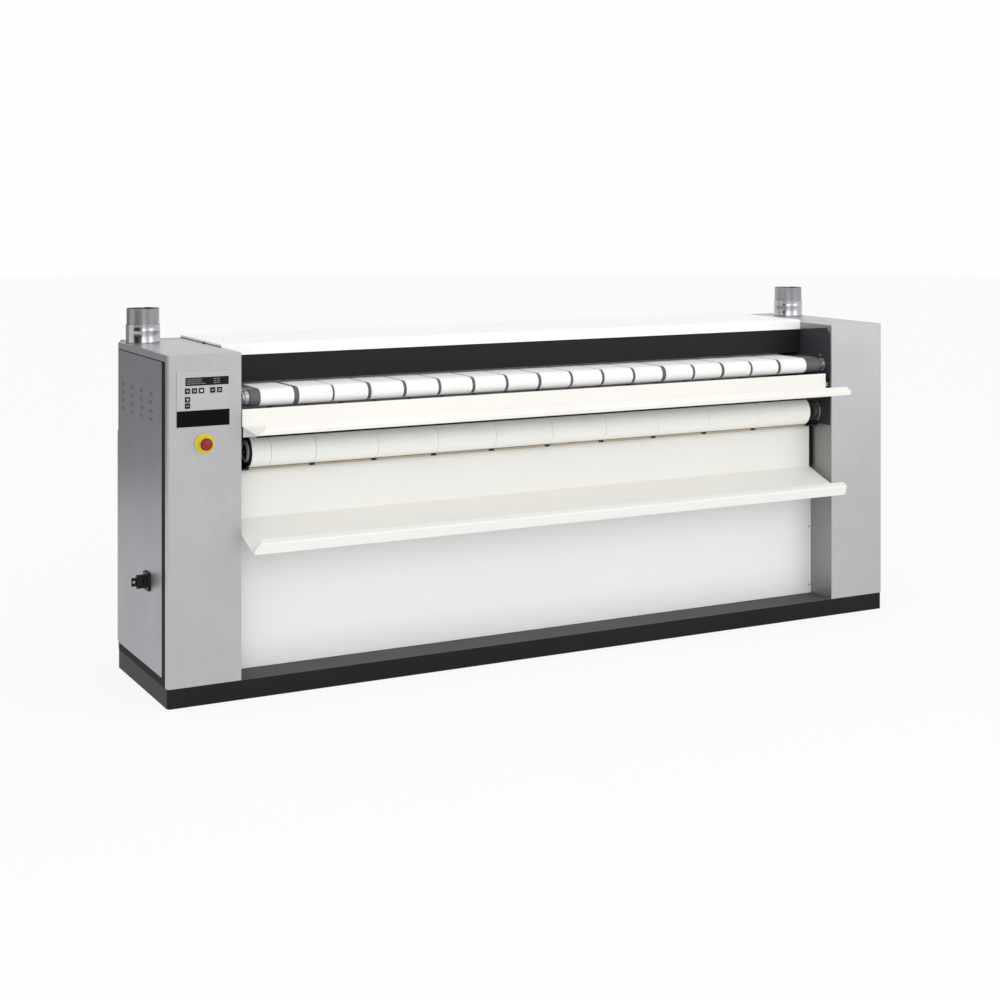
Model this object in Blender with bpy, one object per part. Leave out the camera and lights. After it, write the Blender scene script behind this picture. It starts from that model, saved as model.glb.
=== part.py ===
# Flatwork ironer with front feed and front return, in metres, +Z up.
# Machine frame: x = 0 is the mid plane, y = 0 the front faces of the columns, z = 0 the floor.
# The front of the machine looks towards -Y.

import math

import bmesh
import bpy
from mathutils import Matrix, Vector

# Overall sizes
WIDTH = 3.13
DEPTH = 0.6165
COLUMN_WIDTH = 0.2661
COLUMN_HEIGHT = 1.2167
BASE_HEIGHT = 0.0682

# Fits
SEAT_GAP = 0.0003
CUT_OVERRUN = 0.02
JOIN_OVERLAP = 0.0008

# Base frame
BASE_WALL = 0.003
BASE_FLANGE = 0.030
BASE_CORNER_RADIUS = 0.012

# Column covers, doors and side frames
SKIN = 0.0015
DOOR_WALL = 0.003
COLUMN_EDGE_RADIUS = 0.005
DOOR_FRAME_FRONT = 0.037
DOOR_FRAME_TOP = 0.024
DOOR_FRAME_REAR = 0.010
DOOR_GAP = 0.004
DOOR_GAP_FRONT = 0.029
DOOR_GAP_BOTTOM = 0.026
DOOR_LEDGE = 0.008
WINDOW_FRONT = 0.010
WINDOW_REAR_MARGIN = 0.0165
WINDOW_DROP = 0.053
WINDOW_STEP_SHARE = 0.2352
WINDOW_LOW_DROP = 0.385
WINDOW_RISE = 0.018
WINDOW_CORNER = 0.023
FRAME_THICKNESS = 0.008
FRAME_EDGE_CLEARANCE = 0.004

# Louvres of the doors
LOUVRE_LENGTH = 0.046
LOUVRE_HEIGHT = 0.008
LOUVRE_COLUMN_SHARE = 0.18929
LOUVRE_ROW_PITCH = 0.0303
LOUVRE_FIRST_SHARE = 0.31955
LOUVRE_DROP = 0.2427
LOUVRE_COLUMNS = 4
LOUVRE_ROWS = 4

# Door latches
LATCH_DEPTH_SHARE = 0.6099
LATCH_DROP = 0.041
LATCH_HEAD_RADIUS = 0.008
LATCH_HEAD_HEIGHT = 0.002
LATCH_SHAFT_RADIUS = 0.004
LATCH_CAM_LENGTH = 0.024
LATCH_CAM_WIDTH = 0.010
LATCH_CAM_THICKNESS = 0.002
LATCH_CAM_CLEARANCE = 0.0004

# Hood, rear cover and lower panel
HOOD_FRONT_SHARE = 0.34469
HOOD_RISE = 0.010
HOOD_LIP_HEIGHT = 0.0397
HOOD_PANEL_RISE = 0.029
HOOD_PANEL_RETURN = 0.022
HOOD_SHEET = 0.0015
REAR_COVER_DEPTH = 0.0885
REAR_BULGE = 0.040
REAR_BULGE_SHARE = 0.71505
REAR_INSET = 0.033
REAR_SHEET = 0.0015
REAR_CLEARANCE = 0.006
LOWER_PANEL_SHARE = 0.22579
LOWER_PANEL_DROP = 0.010
LOWER_PANEL_RETURN = 0.015

# Trays
TRAY_SHEET = 0.0015
TRAY_END_CLEARANCE = 0.0095
TRAY_RIGHT_GAP = 0.0075
TRAY_TAB_LENGTH = 0.030
TRAY_TAB_THICKNESS = 0.003
INFEED_BACK = 0.020
INFEED_DROP = 0.035
INFEED_WALL = 0.061
INFEED_REACH = 0.150
INFEED_SLOPE = 0.013
INFEED_LIP_LEAN = 0.006
INFEED_LIP_KNEE = 0.017
INFEED_LIP_RISE = 0.0155
INFEED_LIP_RETURN = 0.030
INFEED_TAB_RISE = 0.012
INFEED_TAB_HEIGHT = 0.035
EXIT_BACK_SHARE = 0.21087
EXIT_DROP = 0.0045
EXIT_WALL = 0.171
EXIT_REACH = 0.120
EXIT_SLOPE = 0.0855
EXIT_LIP_LEAN = 0.012
EXIT_LIP_KNEE = 0.038
EXIT_LIP_RISE = 0.0115
EXIT_LIP_RETURN = 0.0235
EXIT_TAB_RISE = 0.030
EXIT_TAB_HEIGHT = 0.070

# Heated cylinder
CYLINDER_DEPTH_SHARE = 0.6326
CYLINDER_DROP = 0.3017
CYLINDER_RADIUS_SHARE = 0.26359
CYLINDER_WALL = 0.010
CYLINDER_END_CLEARANCE = 0.029
CYLINDER_END_THICKNESS = 0.012
JOURNAL_RADIUS = 0.045
JOURNAL_WALL = 0.008
JOURNAL_REACH = 0.092
CYLINDER_BEARING_RADIUS = 0.080
CYLINDER_BEARING_LENGTH = 0.034

# Burner tube inside the cylinder
BURNER_RADIUS = 0.024
BURNER_BORE_RADIUS = 0.021
BURNER_ARM_THICKNESS = 0.006
BURNER_ARM_CLEARANCE = 0.010
BURNER_ARM_HALF_HEIGHT = 0.030
BURNER_ARM_REACH = 0.155
BURNER_LEG_THICKNESS = 0.008
BURNER_TIP_CLEARANCE = 0.040
BURNER_TIP_WALL = 0.005

# Ironing belts and their rollers
IRONING_BELT_THICKNESS = 0.004
IRONING_BELT_END_MARGIN = 0.063
IRONING_BELT_RUNNING_GAP = 0.0006
NIP_CLEARANCE = 0.0015
NIP_ANGLE = 25.0
FRONT_ROLLER_SHARE = 0.19465
FRONT_ROLLER_DROP_SHARE = 0.4
FRONT_ROLLER_RADIUS = 0.0545
FRONT_ROLLER_END_MARGIN = 0.058
BACK_ROLLER_RADIUS = 0.0275
BACK_ROLLER_INSET = 0.0415
BACK_ROLLER_RISE_SHARE = 1.07692
BACK_ROLLER_DROP_SHARE = 1.2
BACK_ROLLER_END_MARGIN = 0.040
ROLLER_JOURNAL_RADIUS = 0.010
ROLLER_JOURNAL_REACH = 0.006
FRONT_BEARING_RADIUS = 0.050
FRONT_BEARING_RIM_RADIUS = 0.030
FRONT_BEARING_FLANGE = 0.007
FRONT_BEARING_LENGTH = 0.016

# Belt guide bar under the front roller
GUIDE_FRONT_SHARE = 0.15734
GUIDE_DEPTH = 0.0205
GUIDE_THICKNESS = 0.003
GUIDE_DROP = 0.0615
GUIDE_LIP_THICKNESS = 0.0018
GUIDE_LIP_HEIGHT = 0.0045
GUIDE_FINGER_HEIGHT = 0.0015
GUIDE_FINGER_WIDTH = 0.014
GUIDE_FINGER_PITCH = 0.245
GUIDE_FINGER_OFFSET = -0.011
GUIDE_FINGERS = 9

# Feed belts, rollers and bed
FEED_ROLLER_SHARE = 0.09732
FEED_ROLLER_RISE = 0.134
FEED_ROLLER_RADIUS = 0.0285
FEED_ROLLER_END_MARGIN = 0.031
FEED_COLLAR_RADIUS = 0.021
FEED_COLLAR_LENGTH = 0.012
FEED_REAR_SHARE = 0.38119
FEED_REAR_RISE = 0.144
FEED_REAR_RADIUS = 0.018
FEED_STRIPS = 17
FEED_STRIP_PITCH = 0.1422
FEED_STRIP_OFFSET = -0.013
FEED_STRIP_GAP = 0.011
FEED_BELT_THICKNESS = 0.0025
FEED_BELT_GROOVE = 0.0015
FEED_BED_SHEET = 0.0015
FEED_BED_CLEARANCE = 0.0006
FEED_BED_MARGIN = 0.009
FEED_BED_DROP = 0.018

# Chains and sprockets
CHAIN_GAP = 0.0005
CHAIN_THICKNESS = 0.006
SPROCKET_THICKNESS = 0.008
TOOTH_DEPTH = 0.004
SPROCKET_OFFSET = 0.070
DRIVE_CHAIN_PITCH = 0.015875
DRIVE_TEETH = 38
MOTOR_TEETH = 15
FEED_CHAIN_PITCH = 0.009525
FEED_DRIVE_TEETH = 55
FEED_TEETH = 10

# Gearmotor in the right column
MOTOR_DEPTH_SHARE = 0.48662
MOTOR_HEIGHT = 0.300
GEARBOX_DEPTH = 0.120
GEARBOX_HEIGHT = 0.150
GEARBOX_WIDTH = 0.054
MOTOR_RADIUS = 0.050
MOTOR_LENGTH = 0.190
MOTOR_SHAFT_RADIUS = 0.010
MOTOR_SHAFT_DEPTH = 0.030

# Extraction fans under the flues
FAN_HOUSING_RADIUS = 0.122
FAN_HOUSING_WIDTH = 0.126
FAN_HOUSING_WALL = 0.002
FAN_DROP = 0.315
FAN_OUTLET_DROP = 0.0867
FAN_INLET_RADIUS = 0.055
FAN_WHEEL_RADIUS = 0.100
FAN_WHEEL_HUB_RADIUS = 0.022
FAN_WHEEL_WIDTH = 0.040
FAN_BLADE_THICKNESS = 0.003
FAN_BLADES = 10
FAN_SHAFT_RADIUS = 0.006
FAN_MOTOR_RADIUS = 0.035
FAN_MOTOR_LENGTH = 0.050
FAN_WHEEL_GAP = 0.004

# Flue pipes
FLUE_INSET = 0.075
FLUE_REAR_INSET = 0.0665
FLUE_RADIUS = 0.060
FLUE_SHEET = 0.001
FLUE_RISE = 0.1283
FLUE_FIT = 0.0005
SLEEVE_RADIUS = 0.0635
SLEEVE_RISE = 0.0693

# Control panel on the left column
PANEL_INSET = 0.032
PANEL_WIDTH = 0.190
PANEL_DROP = 0.2497
PANEL_HEIGHT = 0.192
PANEL_THICKNESS = 0.002
PANEL_BACK_MARGIN = 0.006
DISPLAY_LEFT_MARGIN = 0.031
DISPLAY_RIGHT_MARGIN = 0.003
DISPLAY_HEIGHT = 0.028
DISPLAY_TOP_MARGIN = 0.022
DISPLAY_THICKNESS = 0.0015
DISPLAY_RECESS = 0.0003
KEY_SIZE = 0.018
KEY_DEPTH = 0.0075
KEY_PROUD = 0.0015
KEY_CLEARANCE = 0.0004
KEY_LEFT_MARGIN = 0.0384
KEY_PITCH = 0.0250
KEY_GROUP_STEP = 0.0405
KEY_TOP_DROP = 0.068
KEY_ROW_DROP = 0.0295
KEY_ROW_PITCH = 0.0215

# Emergency stop on the left column
STOP_INSET = 0.132
STOP_DROP = 0.061
STOP_DISC_RADIUS = 0.036
STOP_DISC_THICKNESS = 0.003
STOP_RING_RADIUS = 0.018
STOP_RING_HEIGHT = 0.012
STOP_STEM_RADIUS = 0.011
STOP_STEM_LENGTH = 0.030
STOP_NECK_RADIUS = 0.015
STOP_HEAD_RADIUS = 0.0215
STOP_HEAD_THICKNESS = 0.017
STOP_HEAD_EDGE = 0.004
STOP_TRAVEL = 0.006
STOP_NECK_LENGTH = 0.0035
STOP_SPARE = 0.0005

# Main isolator on the left door
ISOLATOR_DEPTH_SHARE = 0.38037
ISOLATOR_HEIGHT = 0.398
ISOLATOR_PLATE_SIZE = 0.065
ISOLATOR_PLATE_THICKNESS = 0.008
ISOLATOR_PLATE_RADIUS = 0.006
ISOLATOR_REACH = 0.059
ISOLATOR_BODY_REACH = 0.041
ISOLATOR_DISC_RADIUS = 0.024
ISOLATOR_DISC_HEIGHT = 0.010
ISOLATOR_GRIP_LENGTH = 0.046
ISOLATOR_GRIP_WIDTH = 0.016
ISOLATOR_TAB_THICKNESS = 0.004
ISOLATOR_TAB_HEIGHT = 0.030
ISOLATOR_TAB_HOLE_RADIUS = 0.005
ISOLATOR_SHAFT_RADIUS = 0.005

# Control box in the left column
CONTROL_BOX_DEPTH = 0.050
CONTROL_BOX_LENGTH = 0.180
CONTROL_BOX_DROP = 0.495
CONTROL_BOX_HEIGHT = 0.340
CONTROL_BOX_WIDTH = 0.110
CONTROL_BOX_WALL = 0.002

# Facets of round pieces
FINE_SEGMENTS = 32
ROUND_SEGMENTS = 24
SMALL_SEGMENTS = 16
PIPE_SEGMENTS = 32
ARC_SEGMENTS = 4
BELT_STEP = 15.0
FEED_BELT_STEP = 30.0
CHAIN_STEP = 30.0
EDGE_SEGMENTS = 2
EDGE_PROFILE = 0.5
SMOOTH_ANGLE = 30.0
BEND_ANGLE = 60.0
WELD_DISTANCE = 0.000001

# Depths worked out from the sizes above
CYLINDER_DEPTH = CYLINDER_DEPTH_SHARE * DEPTH
CYLINDER_RADIUS = CYLINDER_RADIUS_SHARE * DEPTH
FRONT_ROLLER_DEPTH = FRONT_ROLLER_SHARE * DEPTH
BACK_ROLLER_DEPTH = DEPTH - BACK_ROLLER_INSET
FEED_ROLLER_DEPTH = FEED_ROLLER_SHARE * DEPTH
FEED_REAR_DEPTH = FEED_REAR_SHARE * DEPTH
HOOD_FRONT = HOOD_FRONT_SHARE * DEPTH
REAR_DEPTH = DEPTH + REAR_COVER_DEPTH
REAR_BULGE_DEPTH = REAR_DEPTH + REAR_BULGE
LOWER_PANEL_FRONT = LOWER_PANEL_SHARE * DEPTH
EXIT_BACK = EXIT_BACK_SHARE * DEPTH
GUIDE_FRONT = GUIDE_FRONT_SHARE * DEPTH
GUIDE_BACK = GUIDE_FRONT + GUIDE_DEPTH
WINDOW_STEP_DEPTH = WINDOW_STEP_SHARE * DEPTH
LOUVRE_FIRST_DEPTH = LOUVRE_FIRST_SHARE * DEPTH
LOUVRE_COLUMN_PITCH = LOUVRE_COLUMN_SHARE * DEPTH
LATCH_DEPTH = LATCH_DEPTH_SHARE * DEPTH
MOTOR_DEPTH = MOTOR_DEPTH_SHARE * DEPTH
FLUE_DEPTH = DEPTH - FLUE_REAR_INSET
ISOLATOR_DEPTH = ISOLATOR_DEPTH_SHARE * DEPTH

# Heights worked out from the sizes above
CYLINDER_HEIGHT = COLUMN_HEIGHT - CYLINDER_DROP
HOOD_TOP = COLUMN_HEIGHT + HOOD_RISE
HOOD_LIP_BOTTOM = HOOD_TOP - HOOD_LIP_HEIGHT
FEED_ROLLER_HEIGHT = CYLINDER_HEIGHT + FEED_ROLLER_RISE
FEED_REAR_HEIGHT = CYLINDER_HEIGHT + FEED_REAR_RISE
HOOD_PANEL_BOTTOM = FEED_REAR_HEIGHT + HOOD_PANEL_RISE
WINDOW_TOP = HOOD_LIP_BOTTOM
FRONT_ROLLER_HEIGHT = CYLINDER_HEIGHT - FRONT_ROLLER_DROP_SHARE * CYLINDER_RADIUS
WINDOW_BOTTOM = FRONT_ROLLER_HEIGHT - WINDOW_DROP
WINDOW_LOW_BOTTOM = CYLINDER_HEIGHT - WINDOW_LOW_DROP
INFEED_TOP = FEED_ROLLER_HEIGHT - INFEED_DROP
INFEED_FOLD = INFEED_TOP - INFEED_WALL
INFEED_LIP_BOTTOM = INFEED_FOLD - INFEED_SLOPE
INFEED_TAB_BOTTOM = INFEED_FOLD + INFEED_TAB_RISE
BACK_ROLLER_UPPER_HEIGHT = CYLINDER_HEIGHT + BACK_ROLLER_RISE_SHARE * CYLINDER_RADIUS
BACK_ROLLER_LOWER_HEIGHT = CYLINDER_HEIGHT - BACK_ROLLER_DROP_SHARE * CYLINDER_RADIUS
GUIDE_TOP = FRONT_ROLLER_HEIGHT - GUIDE_DROP
GUIDE_BOTTOM = GUIDE_TOP - GUIDE_THICKNESS
GUIDE_LIP_TOP = GUIDE_TOP + GUIDE_LIP_HEIGHT
GUIDE_FINGER_TOP = GUIDE_LIP_TOP + GUIDE_FINGER_HEIGHT
EXIT_TOP = GUIDE_BOTTOM - EXIT_DROP
EXIT_FOLD = EXIT_TOP - EXIT_WALL
EXIT_LIP_BOTTOM = EXIT_FOLD - EXIT_SLOPE
EXIT_TAB_BOTTOM = EXIT_FOLD + EXIT_TAB_RISE
LOWER_PANEL_TOP = EXIT_FOLD - LOWER_PANEL_DROP
REAR_BULGE_TOP = REAR_BULGE_SHARE * COLUMN_HEIGHT
FAN_HEIGHT = CYLINDER_HEIGHT - FAN_DROP
FAN_OUTLET_TOP = COLUMN_HEIGHT - FAN_OUTLET_DROP
FLUE_TOP = COLUMN_HEIGHT + FLUE_RISE
SLEEVE_TOP = COLUMN_HEIGHT + SLEEVE_RISE
PANEL_BOTTOM = COLUMN_HEIGHT - PANEL_DROP
STOP_HEIGHT = PANEL_BOTTOM - STOP_DROP
LOUVRE_FIRST_HEIGHT = COLUMN_HEIGHT - LOUVRE_DROP
CONTROL_BOX_BOTTOM = CYLINDER_HEIGHT - CONTROL_BOX_DROP

# Other values worked out from the sizes above
HALF_WIDTH = WIDTH / 2
CLEAR_HALF = HALF_WIDTH - COLUMN_WIDTH
DECK = BASE_HEIGHT + SEAT_GAP
FRAME_INNER = CLEAR_HALF + SKIN + SEAT_GAP
FRAME_OUTER = FRAME_INNER + FRAME_THICKNESS
BAY_HALF = CLEAR_HALF - SEAT_GAP
FRAME_BAY_HALF = FRAME_INNER - SEAT_GAP
SPROCKET_INNER = FRAME_OUTER + SPROCKET_OFFSET - SPROCKET_THICKNESS
JOURNAL_END = FRAME_OUTER + JOURNAL_REACH
FLUE_CENTRE = HALF_WIDTH - FLUE_INSET
FAN_DEPTH = DEPTH - SKIN - SEAT_GAP - FAN_HOUSING_RADIUS
CYLINDER_AXIS = (CYLINDER_DEPTH, CYLINDER_HEIGHT)
NIP_DISTANCE = (
    CYLINDER_RADIUS + IRONING_BELT_RUNNING_GAP + IRONING_BELT_THICKNESS
    + SEAT_GAP + BACK_ROLLER_RADIUS + NIP_CLEARANCE
)
UPPER_ROLLER_AXIS = (
    CYLINDER_DEPTH - NIP_DISTANCE * math.sin(math.radians(NIP_ANGLE)),
    CYLINDER_HEIGHT + NIP_DISTANCE * math.cos(math.radians(NIP_ANGLE)),
)
FRONT_ROLLER_AXIS = (FRONT_ROLLER_DEPTH, FRONT_ROLLER_HEIGHT)
BACK_UPPER_AXIS = (BACK_ROLLER_DEPTH, BACK_ROLLER_UPPER_HEIGHT)
BACK_LOWER_AXIS = (BACK_ROLLER_DEPTH, BACK_ROLLER_LOWER_HEIGHT)
FEED_FRONT_AXIS = (FEED_ROLLER_DEPTH, FEED_ROLLER_HEIGHT)
FEED_REAR_AXIS = (FEED_REAR_DEPTH, FEED_REAR_HEIGHT)
MOTOR_AXIS = (MOTOR_DEPTH, MOTOR_HEIGHT)
FAN_AXIS = (FAN_DEPTH, FAN_HEIGHT)
SIDES = {"left": -1, "right": 1}


# Scene helpers

def clear_scene():
    for obj in list(bpy.data.objects):
        bpy.data.objects.remove(obj, do_unlink=True)


def make_material(name, colour, roughness, metallic):
    finish = bpy.data.materials.new(name)
    finish.use_nodes = True
    shader = finish.node_tree.nodes["Principled BSDF"]
    shader.inputs["Base Color"].default_value = (*colour, 1.0)
    shader.inputs["Roughness"].default_value = roughness
    shader.inputs["Metallic"].default_value = metallic
    return finish


def make_materials():
    return {
        "stainless": make_material("brushed_stainless", (0.52, 0.53, 0.54), 0.35, 1.0),
        "dark_steel": make_material("dark_painted_steel", (0.022, 0.023, 0.027), 0.45, 0.0),
        "plinth": make_material("plinth_paint", (0.020, 0.019, 0.023), 0.5, 0.0),
        "white": make_material("white_powder_coat", (0.93, 0.93, 0.93), 0.45, 0.0),
        "cream": make_material("cream_powder_coat", (0.86, 0.85, 0.80), 0.45, 0.0),
        "panel_white": make_material("lower_panel_coat", (0.79, 0.79, 0.81), 0.5, 0.0),
        "feed_cloth": make_material("feed_belt_cloth", (0.92, 0.92, 0.91), 0.9, 0.0),
        "iron_cloth": make_material("ironing_belt_cloth", (0.77, 0.77, 0.72), 0.95, 0.0),
        "aluminium": make_material("roller_aluminium", (0.55, 0.56, 0.57), 0.35, 1.0),
        "polished": make_material("polished_cylinder_steel", (0.55, 0.55, 0.56), 0.15, 1.0),
        "rubber": make_material("knurled_rubber", (0.07, 0.07, 0.075), 0.8, 0.0),
        "black": make_material("black_plastic", (0.01, 0.01, 0.011), 0.4, 0.0),
        "yellow": make_material("yellow_plastic", (0.76, 0.65, 0.03), 0.45, 0.0),
        "red": make_material("red_plastic", (0.39, 0.03, 0.04), 0.35, 0.0),
        "galvanised": make_material("galvanised_sheet", (0.45, 0.46, 0.48), 0.3, 1.0),
        "steel": make_material("machined_steel", (0.40, 0.40, 0.41), 0.35, 1.0),
        "cast": make_material("cast_iron_paint", (0.08, 0.085, 0.09), 0.6, 0.0),
        "glass": make_material("display_window", (0.008, 0.009, 0.010), 0.15, 0.0),
        "box_grey": make_material("control_box_grey", (0.35, 0.36, 0.36), 0.5, 0.0),
    }


def add_object(name, bm, finish, root, location=(0.0, 0.0, 0.0)):
    bmesh.ops.recalc_face_normals(bm, faces=bm.faces)
    mesh = bpy.data.meshes.new(name)
    bm.to_mesh(mesh)
    bm.free()
    mesh.shade_smooth()
    mesh.set_sharp_from_angle(angle=math.radians(SMOOTH_ANGLE))
    if finish is not None:
        mesh.materials.append(finish)
    obj = bpy.data.objects.new(name, mesh)
    obj.location = location
    obj.parent = root
    bpy.context.scene.collection.objects.link(obj)
    return obj


def add_tool(name, bm, root, location=(0.0, 0.0, 0.0)):
    tool = add_object(name, bm, None, root, location)
    tool.hide_render = True
    tool.display_type = "WIRE"
    return tool


def boolean(obj, tool, operation):
    change = obj.modifiers.new(f"{operation.lower()}_{tool.name}", "BOOLEAN")
    change.operation = operation
    change.solver = "EXACT"
    change.object = tool


def cut(obj, bm, root):
    count = len(obj.modifiers) + 1
    boolean(obj, add_tool(f"{obj.name}_cut_{count}", bm, root, obj.location), "DIFFERENCE")


def join(obj, bm, root):
    count = len(obj.modifiers) + 1
    boolean(obj, add_tool(f"{obj.name}_add_{count}", bm, root, obj.location), "UNION")


# Outlines in a plane

def rectangle(a0, b0, a1, b1):
    return [(a0, b0), (a1, b0), (a1, b1), (a0, b1)]


def arc(centre, radius, start, end, segments):
    points = []
    for step in range(segments + 1):
        angle = math.radians(start + (end - start) * step / segments)
        points.append((centre[0] + radius * math.cos(angle), centre[1] + radius * math.sin(angle)))
    return points


def circle(centre, radius, segments):
    return arc(centre, radius, 0, 360, segments)[:-1]


def bore_radius(shaft_radius, segments):
    # The flats of the bore clear the corners of the shaft.
    return (shaft_radius + SEAT_GAP) / math.cos(math.pi / segments)


def bore(centre, shaft_radius, segments):
    return circle(centre, bore_radius(shaft_radius, segments), segments)


def rounded_rectangle(a0, b0, a1, b1, radius):
    corners = [
        ((a0 + radius, b0 + radius), 180),
        ((a1 - radius, b0 + radius), 270),
        ((a1 - radius, b1 - radius), 0),
        ((a0 + radius, b1 - radius), 90),
    ]
    points = []
    for centre, start in corners:
        points += arc(centre, radius, start, start + 90, ARC_SEGMENTS)
    return points


def offset_path(points, distance):
    # Each bend moves along its mitre, so the sheet keeps one thickness.
    moved = []
    for index, point in enumerate(points):
        here = Vector(point)
        before = here - Vector(points[index - 1]) if index else None
        after = Vector(points[index + 1]) - here if index + 1 < len(points) else None
        first = (before or after).normalized()
        second = (after or before).normalized()
        normal = Vector((-first.y - second.y, first.x + second.x)).normalized()
        side = Vector((-first.y, first.x))
        moved.append(tuple(here + normal * (distance / normal.dot(side))))
    return moved


def sheet_outline(points, thickness):
    return list(points) + offset_path(points, thickness)[::-1]


def sprocket_outline(teeth, pitch):
    tip = pitch_radius(teeth, pitch)
    points = []
    for tooth in range(teeth):
        angle = 360 * tooth / teeth
        points += arc((0.0, 0.0), tip, angle, angle + 180 / teeth, 1)[:1]
        points += arc((0.0, 0.0), tip - TOOTH_DEPTH, angle + 180 / teeth, angle + 360 / teeth, 1)[:1]
    return points


def pitch_radius(teeth, pitch):
    return pitch / (2 * math.sin(math.pi / teeth))


# Solids

def to_space(point, along, axis):
    first, second = point
    if axis == "X":
        return (along, first, second)
    if axis == "Y":
        return (first, along, second)
    return (first, second, along)


def prism(outline, low, high, axis, holes=()):
    bm = bmesh.new()
    edges = []
    for loop in (outline, *holes):
        verts = [bm.verts.new(to_space(point, low, axis)) for point in loop]
        edges += [bm.edges.new((verts[i - 1], verts[i])) for i in range(len(verts))]
    bmesh.ops.triangle_fill(bm, edges=edges, use_beauty=True)
    shell = bmesh.ops.extrude_face_region(bm, geom=bm.faces[:], use_keep_orig=True)
    moved = [part for part in shell["geom"] if isinstance(part, bmesh.types.BMVert)]
    bmesh.ops.translate(bm, verts=moved, vec=to_space((0.0, 0.0), high - low, axis))
    return bm


def side_prism(outline, near, far, side, holes=()):
    return prism(outline, min(side * near, side * far), max(side * near, side * far), "X", holes)


def block(x0, x1, y0, y1, z0, z1):
    return prism(rectangle(y0, z0, y1, z1), x0, x1, "X")


def side_block(near, far, side, y0, y1, z0, z1):
    return side_prism(rectangle(y0, z0, y1, z1), near, far, side)


def turned(profile, segments, axis, closed=False):
    # The profile holds (distance along the axis, radius) pairs.
    bm = bmesh.new()
    verts = [bm.verts.new(to_space_turned(along, radius, axis)) for along, radius in profile]
    edges = [bm.edges.new(pair) for pair in zip(verts[:-1], verts[1:])]
    if closed:
        edges.append(bm.edges.new((verts[-1], verts[0])))
    direction = Vector(to_space((0.0, 0.0), 1.0, axis))
    bmesh.ops.spin(
        bm, geom=verts + edges, cent=(0, 0, 0), axis=direction, dvec=(0, 0, 0),
        angle=2 * math.pi, steps=segments, use_merge=True, use_duplicate=False,
    )
    bmesh.ops.remove_doubles(bm, verts=bm.verts, dist=WELD_DISTANCE)
    return bm


def to_space_turned(along, radius, axis):
    return to_space((radius, 0.0), along, axis) if axis != "X" else (along, 0.0, radius)


def shift(bm, vector):
    bmesh.ops.translate(bm, verts=bm.verts, vec=vector)
    return bm


# Belts and chains

def belt_path(wheels, offset, step):
    # wheels holds ((y, z), radius, sense): sense 1 turns left round the wheel, -1 turns right.
    count = len(wheels)
    headings = []
    for index in range(count):
        (y0, z0), r0, s0 = wheels[index]
        (y1, z1), r1, s1 = wheels[(index + 1) % count]
        span = math.hypot(y1 - y0, z1 - z0)
        headings.append(math.atan2(z1 - z0, y1 - y0) + math.asin((s0 * r0 - s1 * r1) / span))
    points = []
    for index in range(count):
        centre, radius, sense = wheels[index]
        arrive = headings[index - 1]
        turn = sense * ((sense * (headings[index] - arrive)) % (2 * math.pi))
        parts = max(1, math.ceil(abs(turn) / math.radians(step)))
        reach = sense * (radius + sense * offset) / math.cos(turn / parts / 2)
        for part in range(parts):
            heading = arrive + turn * (part + 0.5) / parts
            points.append((centre[0] + reach * math.sin(heading), centre[1] - reach * math.cos(heading)))
    return points


def swept_band(profile, wheels, step):
    # The profile holds (x, distance from the wheel side) pairs round the band's section.
    bm = bmesh.new()
    rings = []
    for x, offset in profile:
        rings.append([bm.verts.new((x, y, z)) for y, z in belt_path(wheels, offset, step)])
    for first, second in zip(rings, rings[1:] + rings[:1]):
        for index in range(len(first)):
            bm.faces.new((first[index - 1], first[index], second[index], second[index - 1]))
    return bm


def ironing_wheels():
    wrapped = CYLINDER_RADIUS + IRONING_BELT_RUNNING_GAP + IRONING_BELT_THICKNESS
    back = BACK_ROLLER_RADIUS + SEAT_GAP
    return [
        (FRONT_ROLLER_AXIS, FRONT_ROLLER_RADIUS + SEAT_GAP, 1),
        (BACK_LOWER_AXIS, back, 1),
        (BACK_UPPER_AXIS, back, 1),
        (UPPER_ROLLER_AXIS, back, 1),
        (CYLINDER_AXIS, wrapped, -1),
    ]


def feed_wheels():
    return [
        (FEED_FRONT_AXIS, FEED_ROLLER_RADIUS + SEAT_GAP, 1),
        (FEED_REAR_AXIS, FEED_REAR_RADIUS + SEAT_GAP, 1),
    ]


def feed_belt_profile():
    # One section with a groove between neighbouring strips.
    strip = FEED_STRIP_PITCH - FEED_STRIP_GAP
    width = FEED_STRIPS * FEED_STRIP_PITCH - FEED_STRIP_GAP
    left = FEED_STRIP_OFFSET - width / 2
    floor = FEED_BELT_THICKNESS - FEED_BELT_GROOVE
    outer = []
    for index in range(FEED_STRIPS):
        start = left + index * FEED_STRIP_PITCH
        outer += [(start, FEED_BELT_THICKNESS), (start + strip, FEED_BELT_THICKNESS)]
        if index + 1 < FEED_STRIPS:
            outer += [(start + strip, floor), (start + FEED_STRIP_PITCH, floor)]
    return outer + [(left + width, 0.0), (left, 0.0)]


# Frame and casing

def make_base_frame(finish, root):
    outline = rounded_rectangle(-HALF_WIDTH, 0.0, HALF_WIDTH, DEPTH, BASE_CORNER_RADIUS)
    base = add_object("base_frame", prism(outline, 0.0, BASE_HEIGHT, "Z"), finish, root)
    inner = rounded_rectangle(
        -HALF_WIDTH + BASE_WALL, BASE_WALL, HALF_WIDTH - BASE_WALL, DEPTH - BASE_WALL,
        BASE_CORNER_RADIUS - BASE_WALL,
    )
    cut(base, prism(inner, BASE_WALL, BASE_HEIGHT - BASE_WALL, "Z"), root)
    mouth = block(
        -HALF_WIDTH + BASE_FLANGE, HALF_WIDTH - BASE_FLANGE, BASE_FLANGE, DEPTH - BASE_FLANGE,
        -CUT_OVERRUN, BASE_HEIGHT / 2,
    )
    cut(base, mouth, root)


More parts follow.
